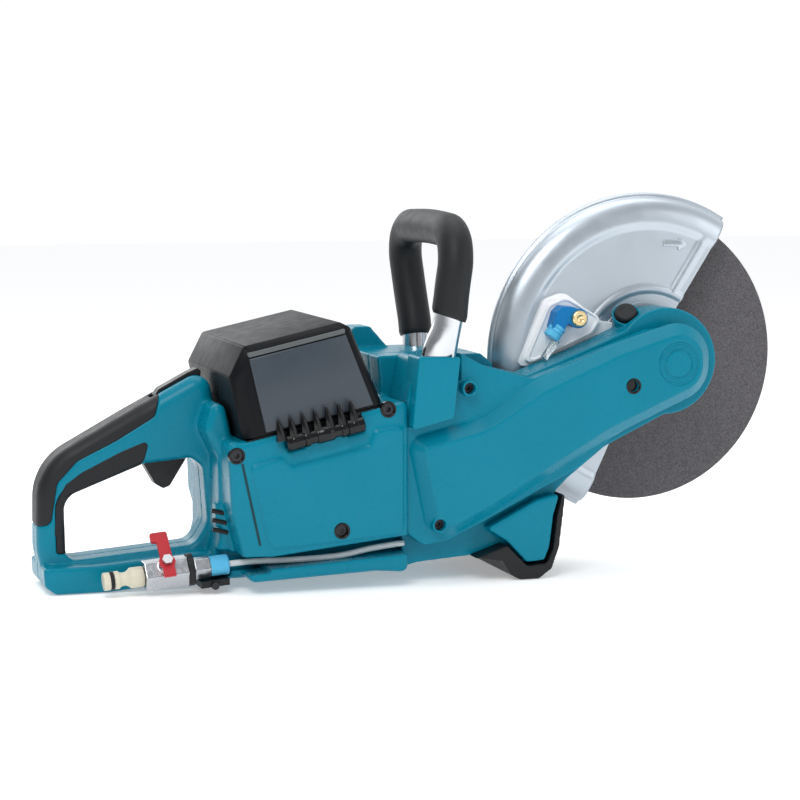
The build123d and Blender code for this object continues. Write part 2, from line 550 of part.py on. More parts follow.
with BuildPart() as arm_cover:
    slab(ARM_OUT, COVER_STEP_Y, COVER_FACE_Y, ARM_OUT_R)
    chamfer(arm_cover.faces().sort_by(Axis.Y)[0].edges(), COVER_BEVEL)
    slab(COVER_BASE, SPLIT_Y, COVER_STEP_Y, 6)
    slab(BRACKET, SPLIT_Y, BRACKET_FACE_Y, 2)
    # Clear of the frame's lower web, then hollow for the belt.
    slab(side((-156, 36), (-134, 31), (-118, 10), (-80, 10), (-60, 98), (-76, 84), (-152, 46)), SPLIT_Y,
         COVER_STEP_Y - GAP, 0, Mode.SUBTRACT)
    for inset, depth in ((-WALL, COVER_STEP_Y), (-COVER_BEVEL - 1.5, COVER_FACE_Y + WALL)):
        with BuildSketch(at(SPLIT_Y)) as belt_room:
            outline(side((-205, 100), (-158, 120), (-114, 147), (-50, 174), (28.4, 198), (28.4, 141),
                         (-52, 108), (-150, 52), (-181, 38), (-199, 46)), [10, 40, 60, 80, 24, 24, 60, 40, 10, 10])
            offset(amount=inset, mode=Mode.REPLACE)
        extrude(belt_room.sketch, amount=SPLIT_Y - depth, mode=Mode.SUBTRACT)
    # Two shallow rings mark the end of the wheel's axle.
    for outer in (16.5, 11.7):
        ring(0, AXIS_Z, outer, outer - 1.4, COVER_FACE_Y + 0.8, COVER_FACE_Y - 5, Mode.SUBTRACT)
    for x, z in COVER_SCREWS:
        ring(x, z, 5.8, 0, SPLIT_Y, COVER_FACE_Y + 1)
        ring(x, z, SCREW_HEAD_R, 0, -70, -90, Mode.SUBTRACT)
        ring(x, z, 2.5, 0, -50, -90, Mode.SUBTRACT)
    bar(Plane(origin=near_foot, z_dir=tube_route % 0), HANDLE_TUBE_R, 60, mode=Mode.SUBTRACT)
    add(handle_bolts.part, mode=Mode.SUBTRACT)
save(arm_cover, "arm_cover")

# --- Drive: motor, gears, countershaft, belt, spindle and wheel ------------------------------------
DRIVE_Y = (-60.0, -70.0)   # the belt's two edges
GEAR_Y = (-36.0, -47.0)


def gear(x, z, teeth, first, bore, far, near):
    """A spur gear whose first tooth points in that direction, in degrees, in the open part."""
    pitch_r = MODULE * teeth / 2
    root_r, tip_r = pitch_r - 1.15 * MODULE, pitch_r + 0.7 * MODULE
    root_half, tip_half = 0.27 * math.pi * MODULE, 0.11 * math.pi * MODULE
    with BuildSketch(at(far)) as profile:
        with Locations((x + AXIS_X, z)):
            Circle(root_r)
        with Locations((x + AXIS_X, z)):
            with PolarLocations(0, teeth, start_angle=first):
                Polygon((root_r - 0.4, -root_half), (tip_r, -tip_half), (tip_r, tip_half),
                        (root_r - 0.4, root_half), align=None)
        with Locations((x + AXIS_X, z)):
            Circle(bore, mode=Mode.SUBTRACT)
    extrude(profile.sketch, amount=far - near)


with BuildPart() as driven_gear:
    gear(SHAFT_X, SHAFT_Z, GEAR_TEETH, MOTOR_DIRECTION + 180 / GEAR_TEETH, 6, *GEAR_Y)
save(driven_gear, "driven_gear")
with BuildPart() as pinion:
    gear(MOTOR_X, MOTOR_Z, PINION_TEETH, MOTOR_DIRECTION + 180, 3.5, *GEAR_Y)
save(pinion, "pinion")

with BuildPart() as countershaft:
    ring(SHAFT_X, SHAFT_Z, SHAFT_BEARING_BORE_R, 0, -27.5, -74)
    ring(SHAFT_X, SHAFT_Z, 6, 0, -34, -50.5)
save(countershaft, "countershaft")
with BuildPart() as drive_pulley:
    ring(SHAFT_X, SHAFT_Z, PULLEY_R, SHAFT_BEARING_BORE_R, DRIVE_Y[0] + 0.5, DRIVE_Y[1] - 0.5)
save(drive_pulley, "drive_pulley")
with BuildPart() as driven_pulley:
    ring(0, AXIS_Z, PULLEY_R, BEARING_BORE_R, DRIVE_Y[0] + 0.5, DRIVE_Y[1] - 0.5)
save(driven_pulley, "driven_pulley")
with BuildPart() as pulley_nut:
    hexagon(Plane(origin=(AXIS_X, DRIVE_Y[1] - 0.5, AXIS_Z), z_dir=(0, -1, 0)), 16, 6, BEARING_BORE_R)
save(pulley_nut, "pulley_nut")

BELT_RUN = math.hypot(SHAFT_X, AXIS_Z - SHAFT_Z)
BELT_LEAN = math.degrees(math.atan2(AXIS_Z - SHAFT_Z, -SHAFT_X))
with BuildPart() as drive_belt:
    with BuildSketch(at(DRIVE_Y[0])) as loop:
        with Locations(Location(((AXIS_X + SHAFT_X / 2), (AXIS_Z + SHAFT_Z) / 2, 0), (0, 0, BELT_LEAN))):
            SlotCenterToCenter(BELT_RUN, 2 * (PULLEY_R + RUN + BELT_T))
            SlotCenterToCenter(BELT_RUN, 2 * (PULLEY_R + RUN), mode=Mode.SUBTRACT)
    extrude(loop.sketch, amount=DRIVE_Y[0] - DRIVE_Y[1])
save(drive_belt, "drive_belt")

with BuildPart() as spindle_bearings:
    for far in (-27, -37 - BEARING_W):
        ring(0, AXIS_Z, BEARING_R, BEARING_BORE_R + RUN, far, far - BEARING_W)
save(spindle_bearings, "spindle_bearings")
with BuildPart() as shaft_bearings:
    for far in (-27, -51.5):
        ring(SHAFT_X, SHAFT_Z, SHAFT_BEARING_R, SHAFT_BEARING_BORE_R + RUN, far, far - SHAFT_BEARING_W)
save(shaft_bearings, "shaft_bearings")

ROTOR_BORE_R = 3.5
with BuildPart() as rotor:
    ring(MOTOR_X, MOTOR_Z, ROTOR_BORE_R, 0, 58, -49)
    ring(MOTOR_X, MOTOR_Z, 16, 0, 32, -16)
save(rotor, "rotor")
with BuildPart() as motor_stator:
    ring(MOTOR_X, MOTOR_Z, MOTOR_R, 16.6, 33, -17)
save(motor_stator, "motor_stator")
with BuildPart() as motor_bearings:
    for far in (-27, 58.5):
        ring(MOTOR_X, MOTOR_Z, SHAFT_BEARING_R, ROTOR_BORE_R + RUN, far, far - SHAFT_BEARING_W)
save(motor_bearings, "motor_bearings")
with BuildPart() as fan:
    ring(MOTOR_X, MOTOR_Z, 25, ROTOR_BORE_R, 39.5, 38)
    ring(MOTOR_X, MOTOR_Z, 7, ROTOR_BORE_R, 48, 38)
    with BuildSketch(at(48)) as blades:
        with Locations((MOTOR_X + AXIS_X, MOTOR_Z)):
            with PolarLocations(15.5, 9):
                Rectangle(18, 1.6, rotation=20)
    extrude(blades.sketch, amount=9)
save(fan, "fan")

FLANGE_R = 30.0
WHEEL_FAR, WHEEL_NEAR = WHEEL_Y + WHEEL_T / 2, WHEEL_Y - WHEEL_T / 2
with BuildPart() as spindle:
    ring(0, AXIS_Z, BEARING_BORE_R, 0, -26, DRIVE_Y[1] - 7)
    ring(0, AXIS_Z, 9, 0, WHEEL_NEAR - 8, -26)
    ring(0, AXIS_Z, 8, 0, WHEEL_NEAR, WHEEL_NEAR - 8)
    ring(0, AXIS_Z, 5, 0, WHEEL_NEAR, -22, Mode.SUBTRACT)
save(spindle, "spindle")
with BuildPart() as inner_flange:
    ring(0, AXIS_Z, FLANGE_R, 8, WHEEL_NEAR, WHEEL_NEAR - 8)
    ring(0, AXIS_Z, WHEEL_BORE_R, 5.2, WHEEL_FAR, WHEEL_NEAR)
save(inner_flange, "inner_flange")
with BuildPart() as outer_flange:
    ring(0, AXIS_Z, FLANGE_R, 5.2, WHEEL_FAR + 6, WHEEL_FAR)
save(outer_flange, "outer_flange")
with BuildPart() as cutting_wheel:
    ring(0, AXIS_Z, WHEEL_R, WHEEL_BORE_R, WHEEL_FAR, WHEEL_NEAR)
save(cutting_wheel, "cutting_wheel")
with BuildPart() as wheel_bolt:
    hexagon(Plane(origin=(AXIS_X, WHEEL_FAR + 6, AXIS_Z), z_dir=(0, 1, 0)), 17, 7)
    ring(0, AXIS_Z, 5, 0, WHEEL_FAR + 6, -21)
save(wheel_bolt, "wheel_bolt")

# --- Guard and what rides on it ---------------------------------------------------------------------
GUARD_ARC = GUARD_TO - GUARD_FROM
NEAR_SHELL = [(24, -20), (102, -20), (124.5, -14), (124.5, -8.5), (126.5, -8.5), (126.5, -6.5),
              (122.5, -6.5), (122.5, -12.5), (101.5, -18), (24, -18)]
NEAR_SHELL_R = [0, 25, 5, 0, 0, 0, 0, 3, 23, 0]
FAR_SHELL = [(60, 18), (112, 18), (124.5, 12), (124.5, -4.5), (126.5, -4.5), (126.5, -6.5),
             (122.5, -6.5), (122.5, 11), (111.5, 16), (60, 16)]
FAR_SHELL_R = [0, 12, 6, 0, 0, 0, 0, 4, 10, 0]


def guard_shell(points, radius):
    """One pressed shell of the guard, turned from its first end to its last, in the open part."""
    with BuildSketch(GUARD_SECTION) as section:
        outline(points, radius)
    revolve(section.sketch, axis=WHEEL_AXIS, revolution_arc=GUARD_ARC)


with BuildPart() as guard_near:
    guard_shell(NEAR_SHELL, NEAR_SHELL_R)
    for inner, outer in ((49, 53), (96, 100)):
        guard_shell([(inner, -19.9), (inner + 1, -21.2), (outer - 1, -21.2), (outer, -19.9)], 0.0)
    ring(0, AXIS_Z, 44, BOSS_R + RUN, -18, -20)
    ring(0, AXIS_Z, 31, BOSS_R + RUN, -18, ARM_BACK_Y + GAP)
    ring(0, AXIS_Z, BOSS_R + RUN, 0, 0, -40, Mode.SUBTRACT)
save(guard_near, "guard_near")
with BuildPart() as guard_far:
    guard_shell(FAR_SHELL, FAR_SHELL_R)
save(guard_far, "guard_far")

with BuildPart() as fitting_plate:
    slab(side((-103, 166), (-87, 204), (-72, 209), (-43, 193), (-52, 183), (-98, 164)), -21.3, -32, 3)
    fillet(fitting_plate.faces().sort_by(Axis.Y)[0].edges(), 2)
save(fitting_plate, "fitting_plate")
FITTING_SCREW = (-66, 194)
with BuildPart() as fitting_screw:
    ring(*FITTING_SCREW, 6.6, 0, -32, -45)
save(fitting_screw, "fitting_screw")
with BuildPart() as water_elbow:
    slab(side((-87, 181), (-78, 174), (-66, 195), (-75, 205), (-84, 200)), -32, -43, 2)
    ring(*FITTING_SCREW, 6.6, 0, -30, -50, Mode.SUBTRACT)
save(water_elbow, "water_elbow")
elbow_foot = Vector(AXIS_X - 82.5, -37.5, 177.5)
tube_end = Vector(AXIS_X - 93, -37.5, 164)
with BuildPart() as guard_tube:
    bar(Plane(origin=elbow_foot, z_dir=tube_end - elbow_foot), 3, (tube_end - elbow_foot).length)
save(guard_tube, "guard_tube")

# --- Shaft-lock button --------------------------------------------------------------------------------
with BuildPart() as shaft_lock_button:
    bar(Plane(origin=BUTTON_CENTRE, z_dir=-BUTTON_AXIS), BUTTON_R, BUTTON_LENGTH)
    fillet(shaft_lock_button.edges(), 1)
save(shaft_lock_button, "shaft_lock_button")

# --- Water kit ----------------------------------------------------------------------------------------
WATER_RISE = math.radians(5.3)
WATER_DIRECTION = Vector(math.cos(WATER_RISE), 0, math.sin(WATER_RISE))
WATER_UP = Vector(-math.sin(WATER_RISE), 0, math.cos(WATER_RISE))
WATER_START = Vector(AXIS_X - 437, -51, 11.5)


def water_at(distance):
    """A plane square to the water line, that far from the nipple's tip."""
    return Plane(origin=WATER_START + WATER_DIRECTION * distance, x_dir=(0, 1, 0), z_dir=WATER_DIRECTION)


NIPPLE_R, NIPPLE_BORE_R = 6.6, 4.0
with BuildPart() as hose_nipple:
    bar(water_at(0), NIPPLE_R, 5, NIPPLE_BORE_R)
    bar(water_at(5), 5, 3, NIPPLE_BORE_R)
    bar(water_at(8), NIPPLE_R, 4, NIPPLE_BORE_R)
    bar(water_at(12), 5, 8, NIPPLE_BORE_R)
    bar(water_at(20), 7.6, 10, NIPPLE_BORE_R)
save(hose_nipple, "hose_nipple")
with BuildPart() as nipple_oring:
    bar(water_at(5.2), 6.9, 2.6, 5)
save(nipple_oring, "nipple_oring")

VALVE_LEAN = math.radians(40)
STEM_AXIS = (Vector(0, -math.cos(VALVE_LEAN), 0) + WATER_UP * math.sin(VALVE_LEAN)).normalized()
VALVE_CENTRE = WATER_START + WATER_DIRECTION * 46
BALL_R, STEM_R = 7.0, 3.0
STEM = Plane(origin=VALVE_CENTRE, x_dir=WATER_DIRECTION, z_dir=STEM_AXIS)
SEAT = Plane(origin=VALVE_CENTRE, x_dir=STEM_AXIS.cross(WATER_DIRECTION + STEM_AXIS * 0.2), z_dir=STEM_AXIS)
with BuildPart() as valve_body:
    hexagon(water_at(30), 21, 32, NIPPLE_BORE_R)
    bar(STEM, 5.5, 14)
    with Locations(SEAT.location):
        Sphere(BALL_R + RUN, mode=Mode.SUBTRACT)
    bar(STEM, STEM_R + RUN, 30, mode=Mode.SUBTRACT)
save(valve_body, "valve_body")
with BuildPart() as valve_ball:
    with Locations(SEAT.location):
        Sphere(BALL_R)
    bar(STEM, STEM_R, 17)
    bar(water_at(20), NIPPLE_BORE_R, 60, mode=Mode.SUBTRACT)
save(valve_ball, "valve_ball")
LEVER_W, LEVER_T = 9.0, 3.0
with BuildPart() as valve_lever:
    lever_foot = STEM.offset(14.4)
    with BuildSketch(lever_foot) as blade:
        Circle(6)
        with Locations((0, 11)):
            Rectangle(LEVER_W, 24)
        with Locations((-2, 21)):
            RectangleRounded(13, 8, 2)
        with Locations((0, -8)):
            Rectangle(LEVER_W, 8)
        Circle(STEM_R, mode=Mode.SUBTRACT)
    extrude(blade.sketch, amount=LEVER_T)
save(valve_lever, "valve_lever")
with BuildPart() as lever_nut:
    hexagon(STEM.offset(17.4), 7, 3.5)
save(lever_nut, "lever_nut")

with BuildPart() as valve_strap:
    bar(water_at(62), 12, 4.5, 7)
save(valve_strap, "valve_strap")
with BuildPart() as hose_adapter:
    bar(water_at(62), 7, 5, 3)
    hexagon(water_at(67), 15, 12, 3)
save(hose_adapter, "hose_adapter")
with BuildPart() as tube_collar:
    bar(water_at(79), 7.5, 14, 3)
    fillet(tube_collar.faces().sort_by(Axis.X)[-1].edges().sort_by(SortBy.LENGTH)[-1], 1.5)
save(tube_collar, "tube_collar")

water_points = [WATER_START + WATER_DIRECTION * 93, WATER_START + WATER_DIRECTION * 112,
                Vector(AXIS_X - 296, -58, 23), Vector(AXIS_X - 256, -60, 26.5),
                Vector(AXIS_X - 213.5, -59, 30)]
with BuildPart() as water_tube:
    with BuildLine() as tube_line:
        FilletPolyline(*water_points, radius=[30, 60, 200])
    along(tube_line.line, Plane(origin=tube_line.line @ 0, z_dir=tube_line.line % 0), 3)
save(water_tube, "water_tube")

# --- Screws ---------------------------------------------------------------------------------------------
SOCKET_R = 2.2


def socket_screw(x, z, far, head_far, near):
    """A cap screw across the saw, with a hexagon socket in its head, in the open part."""
    ring(x, z, 2.4, 0, far, head_far)
    ring(x, z, SCREW_HEAD_R - 0.1, 0, head_far, near)
    with BuildSketch(at(near + 2.5)) as socket:
        with Locations((x + AXIS_X, z)):
            RegularPolygon(SOCKET_R, 6)
    extrude(socket.sketch, amount=3, mode=Mode.SUBTRACT)


with BuildPart() as cover_screws:
    for x, z in COVER_SCREWS:
        socket_screw(x, z, -42, -70, -74.5)
save(cover_screws, "cover_screws")

with BuildPart() as housing_screws:
    for x, z in HOUSING_SCREWS:
        socket_screw(x, z, -56, -72, -76)
    add(bracket_screw.part)
save(housing_screws, "housing_screws")
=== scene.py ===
"""Looks of the battery cut-off saw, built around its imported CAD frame."""
import math

import bmesh
import bpy
from mathutils import Matrix, Vector


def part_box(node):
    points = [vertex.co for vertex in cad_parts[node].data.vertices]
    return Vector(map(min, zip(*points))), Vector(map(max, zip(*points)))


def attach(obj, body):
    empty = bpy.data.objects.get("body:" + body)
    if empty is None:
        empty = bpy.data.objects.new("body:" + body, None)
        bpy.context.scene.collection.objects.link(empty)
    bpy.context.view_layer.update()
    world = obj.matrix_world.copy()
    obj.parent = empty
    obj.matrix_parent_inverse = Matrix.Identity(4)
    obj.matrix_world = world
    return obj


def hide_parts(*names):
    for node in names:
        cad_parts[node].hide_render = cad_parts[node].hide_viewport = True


bl_info = {
    "name": "Cut-off saw looks",
    "version": (1, 0, 0),
    "blender": (4, 5, 0),
    "location": "View3D > Sidebar > Saw",
    "description": "Finishes the cut-off saw: mouldings, guard, wheel, handles, water kit and studio",
    "category": "Object",
}

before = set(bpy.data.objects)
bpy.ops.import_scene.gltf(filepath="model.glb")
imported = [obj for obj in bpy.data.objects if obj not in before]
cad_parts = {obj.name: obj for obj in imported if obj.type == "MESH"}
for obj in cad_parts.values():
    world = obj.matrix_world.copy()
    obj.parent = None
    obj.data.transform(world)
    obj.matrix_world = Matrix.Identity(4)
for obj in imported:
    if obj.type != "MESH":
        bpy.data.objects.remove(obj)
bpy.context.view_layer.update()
MM = 0.001


# --- Places, taken from the frame ---------------------------------------------------------------
BAY_LEAN = math.radians(12.5)


def centre(node):
    low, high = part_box(node)
    return (low + high) / 2


AXLE = centre("cutting_wheel")            # the wheel's axis and mid plane
WHEEL_R = (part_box("cutting_wheel")[1].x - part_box("cutting_wheel")[0].x) / 2
NEAR_COVER_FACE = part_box("arm_cover")[0].y + 4 * MM   # the handle's socket stands 4 mm proud of it
NEARWARD = (0, -1, 0)                     # out of the belt side
TRIANGLE_LIMIT = 190000                   # a moulding is thinned to this


def from_axle(forward, up, y=0.0):
    """A point given in millimetres forward of the wheel's axis and up from the ground."""
    return Vector((AXLE.x + forward * MM, y, up * MM))


# --- Sizes and colours a user would change ---------------------------------------------------------
class SawMouldings(bpy.types.PropertyGroup):
    teal: bpy.props.FloatVectorProperty(
        name="Housing colour", description="Gloss plastic of the housing",
        default=(0.0, 0.185, 0.275), size=3, subtype="COLOR", min=0, max=1)
    rubber: bpy.props.FloatVectorProperty(
        name="Grip colour", description="Soft rubber of the grips",
        default=(0.011, 0.012, 0.014), size=3, subtype="COLOR", min=0, max=1)
    lid: bpy.props.FloatVectorProperty(
        name="Lid colour", description="Satin plastic of the battery lid",
        default=(0.006, 0.0065, 0.008), size=3, subtype="COLOR", min=0, max=1)
    voxel: bpy.props.FloatProperty(
        name="Moulding detail", description="Cell size that the mouldings are rounded at",
        default=0.85 * MM, min=0.4 * MM, max=5 * MM, subtype="DISTANCE", unit="LENGTH")
    rounding: bpy.props.IntProperty(
        name="Moulding rounding", description="Smoothing passes over the mouldings", default=9, min=0, max=60)


class SawGuard(bpy.types.PropertyGroup):
    metal: bpy.props.FloatVectorProperty(
        name="Guard colour", description="Silver finish of the guard",
        default=(0.50, 0.555, 0.61), size=3, subtype="COLOR", min=0, max=1)
    first: bpy.props.FloatProperty(
        name="First end", description="Direction of the front end from the axle",
        default=math.radians(57.5), subtype="ANGLE", unit="ROTATION")
    last: bpy.props.FloatProperty(
        name="Last end", description="Direction of the lower end from the axle",
        default=math.radians(245), subtype="ANGLE", unit="ROTATION")
    radius: bpy.props.FloatProperty(
        name="Seam radius", description="Radius of the seam of the two shells",
        default=124.5 * MM, subtype="DISTANCE", unit="LENGTH")
    bead: bpy.props.FloatProperty(
        name="Bead height", description="Height of the pressed beads",
        default=1.6 * MM, subtype="DISTANCE", unit="LENGTH")


class SawWheel(bpy.types.PropertyGroup):
    grit: bpy.props.FloatVectorProperty(
        name="Wheel colour", description="Resin and grit of the wheel",
        default=(0.072, 0.068, 0.074), size=3, subtype="COLOR", min=0, max=1)
    mesh: bpy.props.FloatProperty(
        name="Fabric pitch", description="Pitch of the glass mesh in the wheel",
        default=3.2 * MM, subtype="DISTANCE", unit="LENGTH")


class SawHandle(bpy.types.PropertyGroup):
    grip_radius: bpy.props.FloatProperty(
        name="Grip radius", description="Radius of the front grip",
        default=13.1 * MM, subtype="DISTANCE", unit="LENGTH")


GROUPS = {"saw_mouldings": SawMouldings, "saw_guard": SawGuard, "saw_wheel": SawWheel,
          "saw_handle": SawHandle}


# --- Mesh helpers -----------------------------------------------------------------------------------
def new_piece(name, mesh):
    """An object at the origin that holds the mesh."""
    piece = bpy.data.objects.new(name, mesh)
    bpy.context.scene.collection.objects.link(piece)
    return piece


def from_bmesh(name, bm):
    bmesh.ops.remove_doubles(bm, verts=bm.verts, dist=1e-6)
    bmesh.ops.recalc_face_normals(bm, faces=bm.faces)
    mesh = bpy.data.meshes.new(name)
    bm.to_mesh(mesh)
    bm.free()
    return new_piece(name, mesh)


def baked(piece):
    """Turns the piece's modifiers into its mesh."""
    graph = bpy.context.evaluated_depsgraph_get()
    graph.update()
    mesh = bpy.data.meshes.new_from_object(piece.evaluated_get(graph))
    piece.modifiers.clear()
    old = piece.data
    piece.data = mesh
    bpy.data.meshes.remove(old)
    return piece


def add_modifier(piece, kind, **values):
    modifier = piece.modifiers.new(kind.title(), kind)
    for key, value in values.items():
        setattr(modifier, key, value)
    return modifier


def cad_copy(name, *nodes):
    """A merged copy of CAD nodes, as one new piece."""
    bm = bmesh.new()
    for node in nodes:
        bm.from_mesh(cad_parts[node].data)
    bmesh.ops.remove_doubles(bm, verts=bm.verts, dist=2e-6)
    mesh = bpy.data.meshes.new(name)
    bm.to_mesh(mesh)
    bm.free()
    mesh.materials.clear()
    return new_piece(name, mesh)


def joined(target, *others):
    """Adds the meshes of other pieces to a piece, and removes them."""
    bm = bmesh.new()
    bm.from_mesh(target.data)
    for other in others:
        bm.from_mesh(other.data)
        bpy.data.objects.remove(other)
    bm.to_mesh(target.data)
    bm.free()
    return target


def finish(piece, body, material, *nodes, smooth=True, angle=40):
    """Gives a piece its look, its body and the CAD nodes that it stands for."""
    piece.data.materials.clear()
    piece.data.materials.append(material)
    if smooth:
        piece.data.shade_smooth()
        if angle:
            piece.data.set_sharp_from_angle(angle=math.radians(angle))
    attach(piece, body)
    if nodes:
        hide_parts(*nodes)
    return piece


def rounded(points, radii, steps=6):
    """A closed outline with an arc at each corner: one radius, or one for each point."""
    radii = radii if isinstance(radii, (list, tuple)) else [radii] * len(points)
    result = []
    for index, point in enumerate(points):
        here = Vector(point)
        before, after = Vector(points[index - 1]), Vector(points[(index + 1) % len(points)])
        to_before, to_after = (before - here).normalized(), (after - here).normalized()
        half = to_before.angle(to_after) / 2
        if radii[index] <= 0 or half > math.radians(89.5):
            result.append(here)
            continue
        reach = min(radii[index] / math.tan(half), 0.48 * (before - here).length,
                    0.48 * (after - here).length)
        radius = reach * math.tan(half)
        middle = here + (to_before + to_after).normalized() * (radius / math.sin(half))
        start, end = here + to_before * reach - middle, here + to_after * reach - middle
        turn = start.angle_signed(end)
        for step in range(steps + 1):
            result.append(middle + Matrix.Rotation(-turn * step / steps, 2) @ start)
    return result


def slab(name, outline, far, near, near_inset=0.0):
    """A solid between two Y, its side outline given from the axle and the ground in millimetres."""
    bm = bmesh.new()
    middle = sum((Vector(p) for p in outline), Vector((0, 0))) / len(outline)
    rings = []
    for y, inset in ((far, 0.0), (near, near_inset)):
        ring = []
        for x, z in outline:
            pull = (Vector((x, z)) - middle)
            pull = pull * (1 - inset / max(pull.length, 1e-6)) + middle
            ring.append(bm.verts.new(from_axle(pull.x, pull.y, y * MM)))
        rings.append(ring)
    bm.faces.new(rings[0])
    bm.faces.new(reversed(rings[1]))
    count = len(outline)
    for index in range(count):
        following = (index + 1) % count
        bm.faces.new((rings[0][index], rings[1][index], rings[1][following], rings[0][following]))
    return from_bmesh(name, bm)


def bay(u, v, y):
    """A point of the leaning battery bay: along its floor, up out of it and across, in millimetres."""
    return from_axle(u * math.cos(BAY_LEAN) - v * math.sin(BAY_LEAN),
                     u * math.sin(BAY_LEAN) + v * math.cos(BAY_LEAN), y * MM)


def hull(name, points):
    """The convex solid round some points."""
    bm = bmesh.new()
    for point in points:
        bm.verts.new(point)
    result = bmesh.ops.convex_hull(bm, input=bm.verts)
    inner = [item for item in result["geom_unused"] if isinstance(item, bmesh.types.BMVert)]
    bmesh.ops.delete(bm, geom=inner, context="VERTS")
    return from_bmesh(name, bm)


def cut(piece, tool):
    """Takes one piece out of another."""
    add_modifier(piece, "BOOLEAN", object=tool, operation="DIFFERENCE", solver="EXACT")
    baked(piece)
    bpy.data.objects.remove(tool)
    return piece


def lathe(name, base, direction, profile, sides=48):
    """A turned piece: (radius, height) rows in millimetres round an axis, closed at both ends."""
    bm = bmesh.new()
    turn = Vector(direction).to_track_quat("Z", "Y").to_matrix()
    rings = []
    for radius, height in profile:
        if radius < 1e-6:
            rings.append([bm.verts.new(Vector(base) + turn @ Vector((0, 0, height * MM)))])
            continue
        ring = []
        for side in range(sides):
            angle = math.tau * side / sides
            spoke = Vector((radius * math.cos(angle) * MM, radius * math.sin(angle) * MM, height * MM))
            ring.append(bm.verts.new(Vector(base) + turn @ spoke))
        rings.append(ring)
    for first, second in zip(rings, rings[1:]):
        for side in range(sides):
            after = (side + 1) % sides
            corners = [first[side % len(first)], first[after % len(first)],
                       second[after % len(second)], second[side % len(second)]]
            bm.faces.new(list(dict.fromkeys(corners)))
    for ring in (rings[0], rings[-1]):
        if len(ring) > 1:
            bm.faces.new(ring)
    return from_bmesh(name, bm)


def smooth_path(points, steps=10):
    """Points on a smooth line through the given rows of numbers."""
    rows = [Vector(point) for point in points]
    rows = [2 * rows[0] - rows[1], *rows, 2 * rows[-1] - rows[-2]]
    result = []
    for a, b, c, d in zip(rows, rows[1:], rows[2:], rows[3:]):
        for step in range(steps):
            t = step / steps
            result.append(0.5 * (2 * b + (c - a) * t + (2 * a - 5 * b + 4 * c - d) * t * t
                                 + (3 * b - a - 3 * c + d) * t ** 3))
    result.append(rows[-2])
    return result


def swept(name, places, sizes, sides=40, wide=(1, 0, 0)):
    """A round or oval bar through places, with a half width and half depth in millimetres at each."""
    bm = bmesh.new()
    rings = []
    across = Vector(wide)
    for index, (place, (half_width, half_depth)) in enumerate(zip(places, sizes)):
        ahead = places[min(index + 1, len(places) - 1)] - places[max(index - 1, 0)]
        ahead.normalize()
        across = (across - ahead * across.dot(ahead)).normalized()
        depth = ahead.cross(across)
        rings.append([bm.verts.new(place + (across * half_width * math.cos(math.tau * side / sides)
                                            + depth * half_depth * math.sin(math.tau * side / sides)) * MM)
                      for side in range(sides)])
    for first, second in zip(rings, rings[1:]):
        for side in range(sides):
            after = (side + 1) % sides
            bm.faces.new((first[side], first[after], second[after], second[side]))
    bm.faces.new(rings[0])
    bm.faces.new(reversed(rings[-1]))
    return from_bmesh(name, bm)


class Growth:
    """A Geometry Nodes tree with named inputs, which ends in Realize Instances and Set Material."""

    def __init__(self, name, **inputs):
        self.tree = bpy.data.node_groups.new(name, "GeometryNodeTree")
        self.tree.interface.new_socket("Geometry", in_out="INPUT", socket_type="NodeSocketGeometry")
        for key, kind in inputs.items():
            self.tree.interface.new_socket(key.replace("_", " "), in_out="INPUT",
                                           socket_type="NodeSocket" + kind)
        self.tree.interface.new_socket("Geometry", in_out="OUTPUT", socket_type="NodeSocketGeometry")
        self.given = self.tree.nodes.new("NodeGroupInput").outputs

    def node(self, kind, result=0, settings=None, **inputs):
        node = self.tree.nodes.new("GeometryNode" + kind)
        for key, value in (settings or {}).items():
            setattr(node, key, value)
        for key, value in inputs.items():
            socket = node.inputs[key.replace("_", " ")]
            if isinstance(value, bpy.types.NodeSocket):
                self.tree.links.new(value, socket)
            else:
                socket.default_value = value
        return node.outputs[result]

    def end(self, geometry, material):
        whole = self.node("RealizeInstances", Geometry=geometry)
        painted = self.node("SetMaterial", Geometry=whole, Material=material)
        output = self.tree.nodes.new("NodeGroupOutput")
        self.tree.links.new(painted, output.inputs[0])
        return self

    def grown(self, name, mesh=None, **values):
        """A new piece that the tree makes from these values."""
        piece = new_piece(name, mesh or bpy.data.meshes.new(name))
        modifier = piece.modifiers.new("Growth", "NODES")
        modifier.node_group = self.tree
        for item in self.tree.interface.items_tree:
            key = item.name.replace(" ", "_")
            if item.in_out == "INPUT" and key in values:
                modifier[item.identifier] = values[key]
        return baked(piece)


def row_tree():
    """A row of like cones or bars along a line."""
    tree = Growth("row_of_bars", Count="Int", Start="Vector", Step="Vector", Sides="Int", Foot_Radius="Float",
                  Top_Radius="Float", Length="Float", Turn="Rotation", Stretch="Vector", Finish="Material")
    given = tree.given
    line = tree.node("MeshLine", Count=given["Count"], Start_Location=given["Start"], Offset=given["Step"])
    bar = tree.node("MeshCone", settings={"fill_type": "NGON"}, Vertices=given["Sides"],
                    Radius_Top=given["Top Radius"], Radius_Bottom=given["Foot Radius"], Depth=given["Length"])
    row = tree.node("InstanceOnPoints", Points=line, Instance=bar, Rotation=given["Turn"],
                    Scale=given["Stretch"])
    return tree.end(row, given["Finish"])


